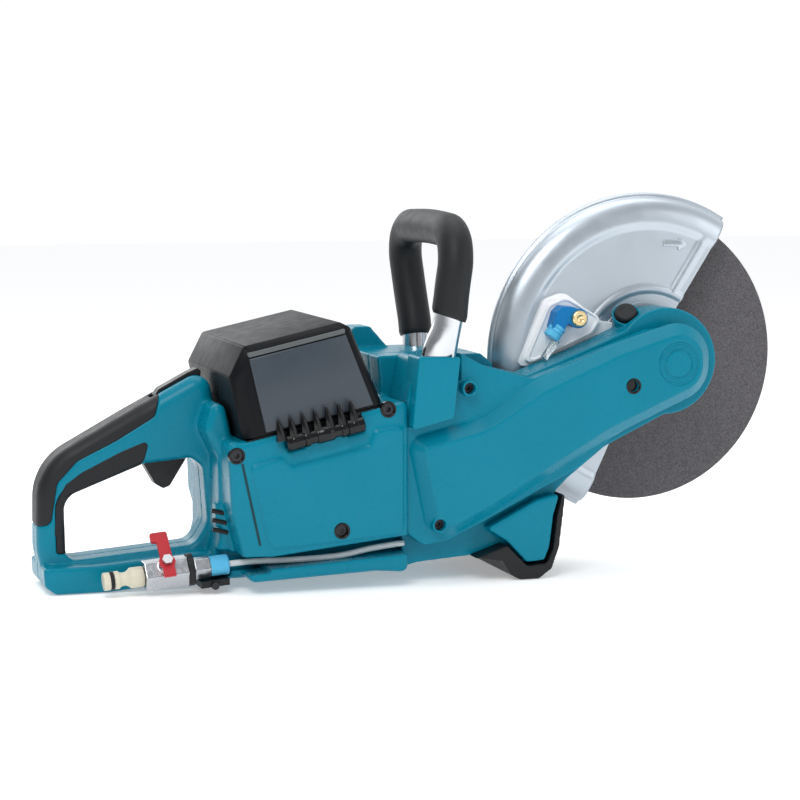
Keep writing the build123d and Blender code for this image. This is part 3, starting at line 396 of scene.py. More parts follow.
def moulded(piece, voxel, passes):
    """Rounds a piece's edges as a moulding: even cells, then smoothing, then thinning."""
    add_modifier(piece, "REMESH", mode="VOXEL", voxel_size=voxel, adaptivity=0.0)
    add_modifier(piece, "SMOOTH", factor=0.5, iterations=passes)
    baked(piece)
    triangles = 2 * len(piece.data.polygons)
    if triangles > TRIANGLE_LIMIT:
        add_modifier(piece, "DECIMATE", ratio=TRIANGLE_LIMIT / triangles)
        add_modifier(piece, "SMOOTH", factor=0.4, iterations=2)
        baked(piece)
    return piece


def crisp(piece, width, segments=3, angle=28):
    """Merges a piece's flat faces and bevels its edges."""
    bm = bmesh.new()
    bm.from_mesh(piece.data)
    bmesh.ops.dissolve_limit(bm, angle_limit=math.radians(1.0), verts=bm.verts, edges=bm.edges)
    bm.to_mesh(piece.data)
    bm.free()
    add_modifier(piece, "BEVEL", width=width, segments=segments, limit_method="ANGLE",
                 angle_limit=math.radians(angle), use_clamp_overlap=True)
    add_modifier(piece, "WEIGHTED_NORMAL", keep_sharp=False)
    return baked(piece)


# --- Materials ----------------------------------------------------------------------------------------
class Surface:
    """One node material: a Principled shader on Object coordinates, with helpers for patterns."""

    def __init__(self, name, colour, roughness, metallic=0.0, **sockets):
        self.material = bpy.data.materials.new(name)
        self.material.use_nodes = True
        self.nodes, self.links = self.material.node_tree.nodes, self.material.node_tree.links
        self.shader = self.nodes["Principled BSDF"]
        self.shader.inputs["Base Color"].default_value = (*colour, 1)
        self.shader.inputs["Roughness"].default_value = roughness
        self.shader.inputs["Metallic"].default_value = metallic
        for key, value in sockets.items():
            self.shader.inputs[key.replace("_", " ")].default_value = value
        self.place = self.nodes.new("ShaderNodeTexCoord").outputs["Object"]
        self.last_bump = None

    def noise(self, scale, detail=3.0, roughness=0.5, stretch=None):
        node = self.nodes.new("ShaderNodeTexNoise")
        node.inputs["Scale"].default_value = scale
        node.inputs["Detail"].default_value = detail
        node.inputs["Roughness"].default_value = roughness
        if stretch:
            mapping = self.nodes.new("ShaderNodeMapping")
            mapping.inputs["Scale"].default_value = stretch
            self.links.new(self.place, mapping.inputs["Vector"])
            self.links.new(mapping.outputs["Vector"], node.inputs["Vector"])
        else:
            self.links.new(self.place, node.inputs["Vector"])
        return node.outputs["Fac"]

    def cells(self, scale, feature="F1"):
        node = self.nodes.new("ShaderNodeTexVoronoi")
        node.feature = feature
        node.inputs["Scale"].default_value = scale
        self.links.new(self.place, node.inputs["Vector"])
        return node.outputs["Distance"]

    def spread(self, source, low, high, to_low, to_high):
        node = self.nodes.new("ShaderNodeMapRange")
        for key, value in (("From Min", low), ("From Max", high), ("To Min", to_low), ("To Max", to_high)):
            node.inputs[key].default_value = value
        self.links.new(source, node.inputs["Value"])
        return node.outputs["Result"]

    def vary_colour(self, source, first, second, low=0.3, high=0.7):
        node = self.nodes.new("ShaderNodeMix")
        node.data_type = "RGBA"
        node.inputs["A"].default_value = (*first, 1)
        node.inputs["B"].default_value = (*second, 1)
        self.links.new(self.spread(source, low, high, 0, 1), node.inputs["Factor"])
        self.links.new(node.outputs["Result"], self.shader.inputs["Base Color"])
        return self

    def vary_roughness(self, source, first, second, low=0.3, high=0.7):
        self.links.new(self.spread(source, low, high, first, second), self.shader.inputs["Roughness"])
        return self

    def bump(self, source, height, strength=1.0):
        node = self.nodes.new("ShaderNodeBump")
        node.inputs["Distance"].default_value = height
        node.inputs["Strength"].default_value = strength
        self.links.new(source, node.inputs["Height"])
        if self.last_bump:
            self.links.new(self.last_bump, node.inputs["Normal"])
        self.last_bump = node.outputs["Normal"]
        self.links.new(self.last_bump, self.shader.inputs["Normal"])
        return self


def lighter(colour, factor):
    return tuple(min(1.0, channel * factor) for channel in colour)


LOOKS = {}


def make_looks(scene):
    """Every material, by name."""
    mouldings, guard, wheel = scene.saw_mouldings, scene.saw_guard, scene.saw_wheel
    teal, rubber, lid = tuple(mouldings.teal), tuple(mouldings.rubber), tuple(mouldings.lid)

    def gloss(name, colour, roughness=0.24):
        surface = Surface(name, colour, roughness, Specular_IOR_Level=0.17)
        surface.vary_colour(surface.noise(14, 2), colour, lighter(colour, 1.07))
        surface.vary_roughness(surface.noise(60, 4), roughness, roughness + 0.07)
        return surface.bump(surface.noise(1400, 2), 0.02 * MM, 0.5)

    def satin(name, colour, roughness=0.42, grain=900, height=0.05, specular=0.35):
        surface = Surface(name, colour, roughness, Specular_IOR_Level=specular)
        surface.vary_colour(surface.noise(25, 3), colour, lighter(colour, 1.12))
        surface.vary_roughness(surface.noise(120, 3), roughness - 0.04, roughness + 0.06)
        return surface.bump(surface.noise(grain, 2), height * MM, 0.6)

    def metal(name, colour, roughness=0.28, stretch=(1, 1, 1), height=0.02, scale=220):
        surface = Surface(name, colour, roughness, 1.0)
        surface.vary_colour(surface.noise(30, 3), lighter(colour, 0.93), lighter(colour, 1.05))
        surface.vary_roughness(surface.noise(scale, 5, 0.6, stretch), roughness - 0.05, roughness + 0.08)
        return surface.bump(surface.noise(scale * 3, 3, 0.6, stretch), height * MM, 0.5)

    looks = {
        "teal": gloss("teal_gloss_plastic", teal),
        "grip": satin("grip_rubber", rubber, 0.5, 700, 0.1, 0.28),
        "lid": satin("lid_satin_plastic", lid, 0.4, 1500, 0.004, 0.1),
        "panel": satin("lid_panel_plastic", (0.036, 0.048, 0.063), 0.34, 1300, 0.01, 0.4),
        # The ledge is lid plastic drawn much lighter: a painted highlight along the upward chamfer strip.
        "ledge": satin("lid_ledge_plastic", (0.085, 0.095, 0.10), 0.4, 1300, 0.01, 0.4),
        "black": satin("black_plastic", lighter(lid, 0.9), 0.40),
        "gloss_black": satin("gloss_black_plastic", lighter(lid, 0.5), 0.16, 1500, 0.02),
        "shadow": satin("groove_shadow", (0.0, 0.035, 0.045), 0.6),
        "cast": satin("bright_casting", (0.84, 0.85, 0.87), 0.34, 160, 0.03, 0.6),
        "pack": satin("pack_plastic", lighter(lid, 1.6), 0.5),
        "steel": metal("machined_steel", (0.52, 0.53, 0.55), 0.3, (1, 12, 1)),
        "dark_steel": metal("blackened_steel", (0.05, 0.05, 0.055), 0.38),
        "nickel": metal("nickel_plate", (0.50, 0.52, 0.55), 0.22),
        "brass": metal("bright_brass", (0.88, 0.68, 0.36), 0.3),
        "red": satin("red_paint", (0.42, 0.012, 0.02), 0.35, 600, 0.03),
        "cream": satin("cream_plastic", (0.60, 0.57, 0.45), 0.42, 900, 0.03),
        "blue": gloss("blue_plastic", (0.004, 0.17, 0.44), 0.25),
        "pale_blue": gloss("pale_blue_plastic", (0.10, 0.46, 0.72), 0.25),
        "polished": metal("polished_casting", (0.66, 0.68, 0.71), 0.17, (1, 1, 1), 0.05, 90),
        "copper": metal("copper_winding", (0.6, 0.25, 0.1), 0.35),
    }

    silver = tuple(guard.metal)
    plate = Surface("guard_silver", silver, 0.34, 0.82)
    plate.vary_colour(plate.noise(9, 3), lighter(silver, 0.94), lighter(silver, 1.06))
    plate.vary_roughness(plate.noise(45, 5, 0.65), 0.28, 0.42)
    looks["guard"] = plate.bump(plate.noise(160, 4, 0.6), 0.05 * MM, 0.35)

    grit = tuple(wheel.grit)
    disc = Surface("abrasive_grit", grit, 0.88)
    disc.vary_colour(disc.noise(900, 6, 0.85), lighter(grit, 0.45), lighter(grit, 1.9), 0.36, 0.62)
    disc.bump(disc.cells(700), 0.25 * MM, 0.6)
    weave = disc.nodes.new("ShaderNodeTexWave")
    weave.inputs["Scale"].default_value = 1 / wheel.mesh / 6
    weave.bands_direction = "DIAGONAL"
    disc.links.new(disc.place, weave.inputs["Vector"])
    looks["grit"] = disc.bump(weave.outputs["Fac"], 0.05 * MM, 0.25)

    milky = Surface("milky_tube_plastic", (0.84, 0.89, 0.90), 0.18, IOR=1.45, Transmission_Weight=0.15)
    looks["milky"] = milky.bump(milky.noise(90, 2), 0.05 * MM, 0.3)
    clear = Surface("clear_tube_plastic", (0.88, 0.93, 0.93), 0.08, IOR=1.42, Transmission_Weight=0.85)
    looks["clear"] = clear.bump(clear.noise(90, 2), 0.05 * MM, 0.3)
    LOOKS.update({name: surface.material for name, surface in looks.items()})


NODE_LOOKS = {
    "grip": ("grip_outer", "grip_inner", "handle_grip", "nipple_oring", "valve_strap", "drive_belt"),
    "teal": ("housing_left", "housing_right", "arm_cover", "arm_frame"),
    "lid": ("battery_lid",),
    "black": ("battery_bay", "front_foot", "trigger", "lock_off_lever", "lid_latch", "shaft_lock_button",
              "terminal_blocks", "switch_unit", "water_bracket", "fan"),
    "pack": ("battery_pack_1", "battery_pack_2"),
    "guard": ("guard_near", "guard_far"),
    "polished": ("fitting_plate", "handle_tube", "controller"),
    "steel": ("spindle", "countershaft", "inner_flange", "outer_flange", "wheel_bolt", "pulley_nut",
              "driven_gear", "pinion", "drive_pulley", "driven_pulley", "spindle_bearings", "shaft_bearings",
              "motor_bearings", "rotor", "hinge_pin", "handle_pins", "lever_nut"),
    "copper": ("motor_stator",),
    "dark_steel": ("cover_screws", "housing_screws", "handle_bolts"),
    "grit": ("cutting_wheel",),
    "nickel": ("valve_body", "valve_ball", "hose_adapter"),
    "cream": ("hose_nipple",),
    "red": ("valve_lever",),
    "blue": ("water_elbow",),
    "pale_blue": ("tube_collar",),
    "brass": ("fitting_screw",),
    "clear": ("water_tube", "guard_tube"),
}


class SAW_OT_looks(bpy.types.Operator):
    """Makes the materials and gives each CAD node its own"""
    bl_idname = "saw.looks"
    bl_label = "Materials"

    def execute(self, context):
        make_looks(context.scene)
        for look, nodes in NODE_LOOKS.items():
            for node in nodes:
                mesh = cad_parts[node].data
                mesh.materials.clear()
                mesh.materials.append(LOOKS[look])
        return {"FINISHED"}


class SAW_OT_housing(bpy.types.Operator):
    """Rounds both housing halves as mouldings, with the panel pressed out of the near wall"""
    bl_idname = "saw.housing"
    bl_label = "Housing"

    def execute(self, context):
        sizes = context.scene.saw_mouldings
        outline = [(-334, 95), (-321, 38), (-316, 33), (-217, 40), (-217, 121), (-238, 119), (-243, 107),
                   (-304, 94), (-311, 101)]
        panel = slab("panel", rounded(outline, 4), -70, -79.0, 1.2)
        panel = cut(panel, lathe("screw_way", from_axle(-265, 45, -60 * MM), NEARWARD,
                                 [(0, 0), (4.6, 0), (4.6, 30), (0, 30)], 32))
        vent_backing = slab("vent_backing", [(-353, 48), (-353, 64), (-336, 64), (-336, 48)], -38, -49.8)
        right = joined(cut(cad_copy("housing_near", "housing_right"),
                           hull("hinge_pocket", [bay(u, v, y) for u in (-277, -214) for v in (158, 186)
                                                 for y in (-77.4, -92)])), panel, vent_backing)
        moulded(right, sizes.voxel, sizes.rounding)
        finish(right, "saw", LOOKS["teal"], "housing_right", angle=0)
        left = moulded(cad_copy("housing_far", "housing_left"), sizes.voxel, sizes.rounding)
        finish(left, "saw", LOOKS["teal"], "housing_left", angle=0)
        # Dark bars in the three vent slots: painted shade of the slot openings, on the closed teal backing.
        vent_shade_bars = row_tree().grown("vent_slots", Count=3, Start=from_axle(-356, 60, -50.0 * MM),
                                 Step=Vector((0.3, 0, -7)) * MM, Sides=12, Foot_Radius=1.7 * MM,
                                 Top_Radius=1.7 * MM, Length=12 * MM, Turn=(0, math.radians(104), 0),
                                 Stretch=(1.0, 0.4, 1.0), Finish=LOOKS["black"])
        finish(vent_shade_bars, "saw", LOOKS["black"], angle=30)
        groove = slab("wall_groove", [(-340.0, 97), (-338.2, 97.4), (-325.4, 37), (-327.2, 36.6)], -74, -77.2)
        finish(groove, "saw", LOOKS["shadow"], angle=30)
        return {"FINISHED"}


BUTTON_AXIS = Vector((-0.3, -0.66, 0.69)).normalized()


class SAW_OT_arm(bpy.types.Operator):
    """Rounds the arm's casting and its belt cover"""
    bl_idname = "saw.arm"
    bl_label = "Arm"

    def execute(self, context):
        sizes = context.scene.saw_mouldings
        pocket = lathe("button_pocket", from_axle(-28, 199, -43 * MM), BUTTON_AXIS,
                       [(0, -16.5), (9.1, -16.5), (9.1, 6), (0, 6)])
        casting = moulded(cut(cad_copy("arm_casting", "arm_frame"), pocket), sizes.voxel, sizes.rounding)
        finish(casting, "saw", LOOKS["teal"], "arm_frame", angle=0)
        cover = moulded(cad_copy("belt_cover", "arm_cover"), sizes.voxel * 0.7, 6)
        finish(cover, "saw", LOOKS["teal"], "arm_cover", angle=0)
        end_rings = []
        for radius in (15.4, 11.6):
            ridge = [(radius - 0.9, -0.6), (radius - 0.5, 0.35), (radius, 0.55), (radius + 0.5, 0.35),
                     (radius + 0.9, -0.6), (radius - 0.9, -0.6)]
            end_rings.append(lathe(f"end_ring_{radius}", (AXLE.x, NEAR_COVER_FACE, AXLE.z), NEARWARD,
                                   ridge, 64))
        finish(joined(*end_rings), "saw", LOOKS["teal"], angle=60)
        return {"FINISHED"}


class SAW_OT_small_mouldings(bpy.types.Operator):
    """Rounds the skid, the trigger, the valve bracket and the other small black mouldings"""
    bl_idname = "saw.small_mouldings"
    bl_label = "Small mouldings"

    def execute(self, context):
        for name, node, body, voxel, passes in (
                ("skid", "front_foot", "saw", 0.9, 8), ("trigger_blade", "trigger", "trigger", 0.5, 6),
                ("lock_off", "lock_off_lever", "lock_off", 0.4, 4),
                ("bracket", "water_bracket", "saw", 0.5, 4), ("latch_clip", "lid_latch", "latch", 0.5, 4)):
            piece = moulded(cad_copy(name, node), voxel * MM, passes)
            finish(piece, body, LOOKS["black"], node, angle=0)
        return {"FINISHED"}


class SAW_OT_rear_grips(bpy.types.Operator):
    """Moulds the two rubber bands round the rear handle"""
    bl_idname = "saw.rear_grips"
    bl_label = "Rear grips"

    def execute(self, context):
        outer = moulded(cad_copy("rear_grip_outer", "grip_outer"), 0.7 * MM, 5)
        finish(outer, "saw", LOOKS["grip"], "grip_outer", angle=0)
        band = rounded([(-394.5, 110.5), (-416, 102.5), (-446, 88.5), (-458.5, 79.5), (-465.5, 66),
                        (-467, 40), (-461, 39), (-460.5, 64), (-457, 71.5), (-450, 74.5), (-399, 94.5)], 3)
        inner = cad_copy("rear_grip_inner", "grip_inner")
        joined(inner, slab("near_band", band, -14, -19.5, 0.8), slab("far_band", band, 19.5, 14))
        moulded(inner, 0.6 * MM, 5)
        finish(inner, "saw", LOOKS["grip"], "grip_inner", angle=0)
        return {"FINISHED"}


class SAW_OT_front_handle(bpy.types.Operator):
    """Bends the front handle's tube, its flattened near foot and the rubber sleeve over it"""
    bl_idname = "saw.front_handle"
    bl_label = "Front handle"

    def execute(self, context):
        sleeve_radius = context.scene.saw_handle.grip_radius / MM
        near = [(-0.5, -76.0, 190.0), (0.5, -76.6, 206.0), (2.5, -77.4, 225.0), (4.6, -77.0, 240.0),
                (5.8, -71.5, 253.5), (6.8, -59.0, 261.5), (8.0, -42.0, 263.2)]
        far = [(11.0, 42.0, 263.2), (12.2, 58.0, 261.8), (12.8, 71.0, 253.5), (13.6, 76.0, 240.0),
               (15.0, 74.5, 225.0), (16.4, 70.0, 206.0), (17.5, 64.5, 188.0), (17.6, 61.5, 176.0)]
        route = [Vector(point) * MM for point in (*near, (9.5, 0.0, 264.2), *far)]
        places = smooth_path(route, 8)
        near_end, slant_from = 199 * MM, 215 * MM      # the near end's height, and its cut's upper side
        sleeve_at = [place for place in places if place.y > 0 or place.z > near_end]
        count = len(sleeve_at)
        sizes = []
        for index in range(count):
            from_end = min(index, count - 1 - index)
            lip = 0.0 if from_end > 1 else (1.2, 0.4)[from_end]
            sizes.append((sleeve_radius - lip, sleeve_radius - lip))
        sleeve = swept("front_sleeve", sleeve_at, sizes)
        for vertex in sleeve.data.vertices:
            if vertex.co.y < -50 * MM and vertex.co.z < slant_from:
                share = (slant_from - vertex.co.z) / (slant_from - near_end)
                vertex.co.z -= 0.28 * (vertex.co.x - sleeve_at[0].x) * share
        finish(sleeve, "saw", LOOKS["grip"], "handle_grip", angle=50)
        # Each row of the flattened foot is a place, a half width and a half depth.
        foot = [(-9.0, -76.0, 160.0, 12.0, 7.0), (-8.6, -76.0, 166.0, 12.6, 7.4),
                (-7.6, -76.0, 173.0, 13.0, 8.0), (-5.4, -76.0, 181.0, 12.4, 9.4),
                (-2.6, -76.0, 190.0, 11.2, 10.6), (-0.6, -76.2, 199.0, 10.9, 10.9),
                (1.5, -77.0, 212.0, 10.9, 10.9)]
        rows = smooth_path(foot, 6)
        near_tube = swept("front_tube_near", [Vector(row[:3]) * MM for row in rows],
                          [(row[3], row[4]) for row in rows])
        far_foot = [Vector(place) * MM for place in ((16.9, 56.5, 150), (17.6, 61.8, 177), (17.5, 64.5, 188))]
        far_tube = swept("front_tube_far", far_foot, [(10.9, 10.9)] * 3)
        finish(joined(near_tube, far_tube), "saw", LOOKS["polished"], "handle_tube", angle=60)
        return {"FINISHED"}


def smooth_step(value):
    value = min(1.0, max(0.0, value))
    return value * value * (3 - 2 * value)


def bead(distance, half_width):
    """A rounded ridge, 1 on its line and 0 beside it."""
    return smooth_step(1 - abs(distance) / half_width)


class SAW_OT_guard(bpy.types.Operator):
    """Presses both guard shells, with beads, an arrow and the rolled seam"""
    bl_idname = "saw.guard"
    bl_label = "Guard"

    def shell(self, name, sizes, rows, wall_inwards):
        """A sheet over the guard's arc from rows of (radius, height) functions, given a thickness."""
        steps = 220
        bm = bmesh.new()
        grid = []
        for step in range(steps + 1):
            angle = sizes.first + (sizes.last - sizes.first) * step / steps
            ring = []
            for radius, y in rows(angle):
                ring.append(bm.verts.new((AXLE.x + radius * math.cos(angle) * MM, y * MM,
                                          AXLE.z + radius * math.sin(angle) * MM)))
            grid.append(ring)
        for first, second in zip(grid, grid[1:]):
            for index in range(len(first) - 1):
                bm.faces.new((first[index], first[index + 1], second[index + 1], second[index]))
        piece = from_bmesh(name, bm)
        add_modifier(piece, "SOLIDIFY", thickness=1.5 * MM, offset=wall_inwards, use_rim=True)
        return baked(piece)

    def execute(self, context):
        sizes = context.scene.saw_guard
        seam = sizes.radius / MM
        bead_height = sizes.bead / MM

        def near_rows(angle):
            along = (angle - sizes.first) * 1.0
            rows = []
            radius = 24.5
            while radius < seam - 1.2:
                edge = radius * math.sin(min(along, math.pi / 2))
                reach = smooth_step((radius - 50) / 4) * (1 - smooth_step((radius - 100) / 6))
                y = -18.2 - bead_height * max(bead(radius - 53.5, 4.5), reach * bead(edge - 9, 4.5))
                if radius > 99:
                    rise = smooth_step((radius - 99) / 7)
                    y -= 1.8 * rise
                share = max(0.0, (radius - 104) / (seam - 1.2 - 104))
                y += 11.0 * (1 - math.sqrt(max(0.0, 1 - share ** 2.2)))
                rows.append((radius, y))
                radius += 1.0 if radius < 112 else 0.5
            rows += [(seam - 0.9, -8.3), (seam + 0.4, -7.6), (seam + 1.9, -7.2), (seam + 1.9, -6.6)]
            return rows

        near = self.shell("guard_near_shell", sizes, near_rows, 1.0)
        hub = lathe("guard_hub", (AXLE.x, -17.5 * MM, AXLE.z), NEARWARD,
                    [(24.3, 0), (44, 0), (44, 1.9), (43.4, 2.5), (31, 2.5), (31, 7.6), (30.4, 8.2),
                     (24.3, 8.2), (24.3, 0)], 96)
        finish(hub, "guard", LOOKS["guard"], angle=35)
        finish(near, "guard", LOOKS["guard"], "guard_near", angle=0)

        arrow = slab("guard_arrow", [(12, 247.4), (25, 246.2), (25, 243.6), (34, 248.6), (26, 254.2),
                                     (25.6, 251.6), (12.6, 252.8)], -18.5, -20.7, 0.3)
        finish(crisp(arrow, 0.45 * MM, 3), "guard", LOOKS["guard"], angle=35)

        def far_rows(_angle):
            rows = [(60 + 2.0 * step, 16.8) for step in range(25)]
            for step in range(13):
                turn = math.radians(90 - 7.5 * step)
                rows.append((seam - 14.5 + 14.0 * math.cos(turn), 3.0 + 13.8 * math.sin(turn)))
            rows += [(seam - 0.5, -4.0), (seam + 0.6, -5.2), (seam + 1.9, -5.5), (seam + 1.9, -6.2)]
            return rows

        far = self.shell("guard_far_shell", sizes, far_rows, -1.0)
        finish(far, "guard", LOOKS["guard"], "guard_far", angle=0)
        return {"FINISHED"}


LID_PROFILE = [(-304.5, 183.6), (-304.5, 231), (-288.6, 250.2), (-214.9, 250.2), (-207.9, 244.6),
               (-196.4, 183.6)]


def lid_points(inset, bottom):
    """Corner points of the lid's block, drawn in by the inset, with bevelled sides."""
    middle_u, points = -251.0, []
    for u, v in LID_PROFILE:
        u += inset if u < middle_u else -inset
        v = v - inset if v > 190 else bottom
        drawn_u = u + (7.0 if u < middle_u else -5.0)
        drawn_v = v - 6.5 if v > 190 else v
        for sign in (-1, 1):
            points += [bay(u, v, sign * (69.5 - inset)), bay(drawn_u, drawn_v, sign * (76 - inset))]
    return points


class SAW_OT_lid(bpy.types.Operator):
    """Moulds the battery lid, with the panel on its near side, and the comb over its hinge"""
    bl_idname = "saw.lid"
    bl_label = "Battery lid"

    def execute(self, context):
        lid = cut(hull("lid_shell", lid_points(0, 183.6)), hull("lid_room", lid_points(3, 170)))
        ears = []
        for index, u in enumerate((-267.5, -231.5)):
            corners = [bay(u + du, v, y) for du in (0, 5) for v in (187.5, 196.5) for y in (75, 82)]
            ears.append(hull(f"ear_{index}", corners))
        lid = joined(crisp(lid, 1.5 * MM, 4), *ears)
        finish(lid, "lid", LOOKS["lid"], "battery_lid", angle=35)
        panel = hull("lid_panel", [bay(u, v, y) for y, inset in ((-75.2, 0), (-76.9, 0), (-77.5, 0.7))
                                   for u, v in ((-288 + inset, 186), (-288 + inset, 241 - inset),
                                                (-214.3 - inset, 241 - inset), (-205 - inset, 186))])
        finish(crisp(panel, 0.25 * MM, 2), "lid", LOOKS["panel"], angle=30)
        # The ledge strip along the lid's top chamfer carries a painted highlight in its lighter colour.
        ledge_ends = ((-288, 241.9), (-288, 245.2), (-214.3, 241.9), (-213.8, 245.2))
        ledge = hull("lid_ledge", [bay(u, v, y) for u, v in ledge_ends for y in (-71, -76.9)])
        finish(crisp(ledge, 0.6 * MM, 3), "lid", LOOKS["ledge"], angle=30)
        along, up = bay(1, 0, 0) - bay(0, 0, 0), bay(0, 1, 0) - bay(0, 0, 0)
        upright = up.to_track_quat("Z", "Y").to_euler()
        lengthways = along.to_track_quat("Z", "Y").to_euler()
        row = row_tree()
        teeth = row.grown("hinge_comb", Count=7, Start=bay(-278.5, 178, -80.6), Step=along * 9.3, Sides=6,
                          Foot_Radius=5.6 * MM, Top_Radius=1.1 * MM, Length=15.5 * MM, Turn=upright,
                          Stretch=(1.0, 0.85, 1.0), Finish=LOOKS["gloss_black"])
        rings = row.grown("hinge_rings", Count=6, Start=bay(-271.6, 175, -80.5), Step=along * 9.3, Sides=32,
                          Foot_Radius=6.3 * MM, Top_Radius=6.3 * MM, Length=3.6 * MM, Turn=lengthways,
                          Stretch=(1.0, 1.0, 1.0), Finish=LOOKS["gloss_black"])
        for piece in (teeth, rings):
            add_modifier(piece, "BEVEL", width=0.5 * MM, segments=2, limit_method="ANGLE")
            finish(baked(piece), "lid", LOOKS["gloss_black"], angle=40)
        barrel = lathe("hinge_barrel", bay(-276, 175, -80.5), along,
                       [(0, 0), (5.4, 0), (6.1, 0.7), (6.1, 12.4), (5.2, 12.8), (5.2, 24), (6.1, 24.4),
                        (6.4, 24.8), (6.4, 34.8), (6.1, 35.2), (5.2, 35.6), (5.2, 46.8), (6.1, 47.2),
                        (6.1, 59), (5.4, 59.6), (0, 59.6)])
        finish(barrel, "lid", LOOKS["gloss_black"], "hinge_pin", angle=40)
        return {"FINISHED"}


SCREW_SHADE_SEATS = {"cover_screw_seats": ((-167, 147, -72.2), (-190, 46, -72.2), (-37, 145, -82.0)),
               "housing_screw_seats": ((-229, 133, -77.0), (-343, 103, -77.0), (-265, 45, -79.0))}


class SAW_OT_screws(bpy.types.Operator):
    """Lines the screw recesses of the near side with black seats, painted shade that darkens the recesses"""
    bl_idname = "saw.screws"
    bl_label = "Screw seats"

    def execute(self, context):
        profile = [(4.3, -4.0), (4.3, -0.2), (4.6, 0.3), (5.3, 0.5), (6.0, 0.2), (6.2, -0.6), (6.2, -4.0),
                   (4.3, -4.0)]
        # Each seat is a gloss-black ring in a screw recess: painted shade of the recess.
        for name, places in SCREW_SHADE_SEATS.items():
            seats = [lathe(f"{name}_{x}", from_axle(x, z, y * MM), NEARWARD, profile) for x, z, y in places]
            finish(joined(*seats), "saw", LOOKS["gloss_black"], angle=50)
        return {"FINISHED"}


class SAW_OT_button(bpy.types.Operator):
    """Turns the domed shaft-lock button, with its groove and thumb hollow"""
    bl_idname = "saw.button"
    bl_label = "Shaft-lock button"

    def execute(self, context):
        base = from_axle(-28, 199, -43 * MM)
        button = lathe("lock_button", base, BUTTON_AXIS,
                       [(0, -8.4), (8.0, -8.4), (8.4, -4.4), (7.7, -4.2), (7.7, -3.2), (8.5, -2.9),
                        (8.5, -1.2), (8.0, -0.3), (7.2, 0.15), (5.4, 0.3), (4.6, -0.1), (2.5, -0.35),
                        (0, -0.4)])
        finish(button, "shaft_lock", LOOKS["grip"], "shaft_lock_button", angle=35)
        return {"FINISHED"}


class SAW_OT_spray_fitting(bpy.types.Operator):
    """Casts the bright boss on the guard, with the water elbow, its collar and the brass screw"""
    bl_idname = "saw.spray_fitting"
    bl_label = "Spray fitting"

    def execute(self, context):
        outline = rounded([(-105, 160), (-86, 204), (-72, 210), (-43, 193), (-50, 182), (-98, 161)],
                          [3, 6, 9, 4, 8, 3])
        foot_outline = rounded([(-110, 157), (-88, 208), (-72, 213.5), (-40, 190), (-30, 189), (-27, 178),
                                (-60, 166), (-98, 157)], [3, 7, 10, 8, 3, 3, 8, 3])
        foot = slab("boss_foot", foot_outline, -19, -24.5)
        pad = slab("boss_pad", outline, -21, -30.2)
        room_outline = [(x + (-76 - x) * 0.07, z + (188 - z) * 0.09) for x, z in outline]
        room = slab("boss_room", room_outline, -28.9, -34)
        boss = moulded(joined(cut(pad, room), foot), 0.45 * MM, 4)
        finish(boss, "guard", LOOKS["cast"], "fitting_plate", angle=0)
        body = slab("elbow_block", rounded([(-88, 187), (-84.5, 199.5), (-79, 204), (-68, 203), (-66, 190),
                                            (-75, 189), (-79, 181)], 1.5), -29.5, -41.5, 0.6)
        seat = lathe("elbow_seat", from_axle(-66, 194, -30 * MM), NEARWARD,
                     [(0, 0), (7.6, 0), (7.6, 11.5), (0, 11.5)])
        elbow = moulded(joined(body, seat), 0.4 * MM, 4)
        finish(elbow, "guard", LOOKS["blue"], "water_elbow", angle=0)
        drop = (from_axle(-93, 164) - from_axle(-82.5, 177.5)).normalized()
        collar = lathe("elbow_collar", from_axle(-80.5, 188, -36.5 * MM), drop,
                       [(0, 0), (6.0, 0), (6.5, 0.5), (6.5, 2.4), (5.9, 2.7), (6.5, 3.0), (6.5, 5.2),
                        (5.9, 5.5), (6.5, 5.8), (6.5, 10.2), (5.8, 11), (3.2, 11.2), (0, 11.2)], 12)
        finish(collar, "guard", LOOKS["pale_blue"], angle=30)
        screw = lathe("brass_screw", from_axle(-66, 194, -38 * MM), NEARWARD,
                      [(0, 0), (6.2, 0), (6.2, 5.6), (5.9, 6.4), (5.2, 6.9), (3.0, 6.9), (2.2, 6.3),
                       (0, 5.9)])
        finish(screw, "guard", LOOKS["brass"], "fitting_screw", angle=30)
        return {"FINISHED"}


class SAW_OT_wheel(bpy.types.Operator):
    """Turns the abrasive wheel, with its soft worn rim and its bore"""
    bl_idname = "saw.wheel"
    bl_label = "Wheel"

    def execute(self, context):
        low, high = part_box("cutting_wheel")
        rim, half = WHEEL_R / MM, (high.y - low.y) / 2 / MM
        wheel = lathe("abrasive_wheel", AXLE, NEARWARD,
                      [(11.2, -half), (rim - 0.9, -half), (rim - 0.2, -half + 0.5), (rim, 0),
                       (rim - 0.2, half - 0.5), (rim - 0.9, half), (11.2, half), (11.2, -half)], 240)
        finish(wheel, "wheel", LOOKS["grit"], "cutting_wheel", angle=40)
        return {"FINISHED"}


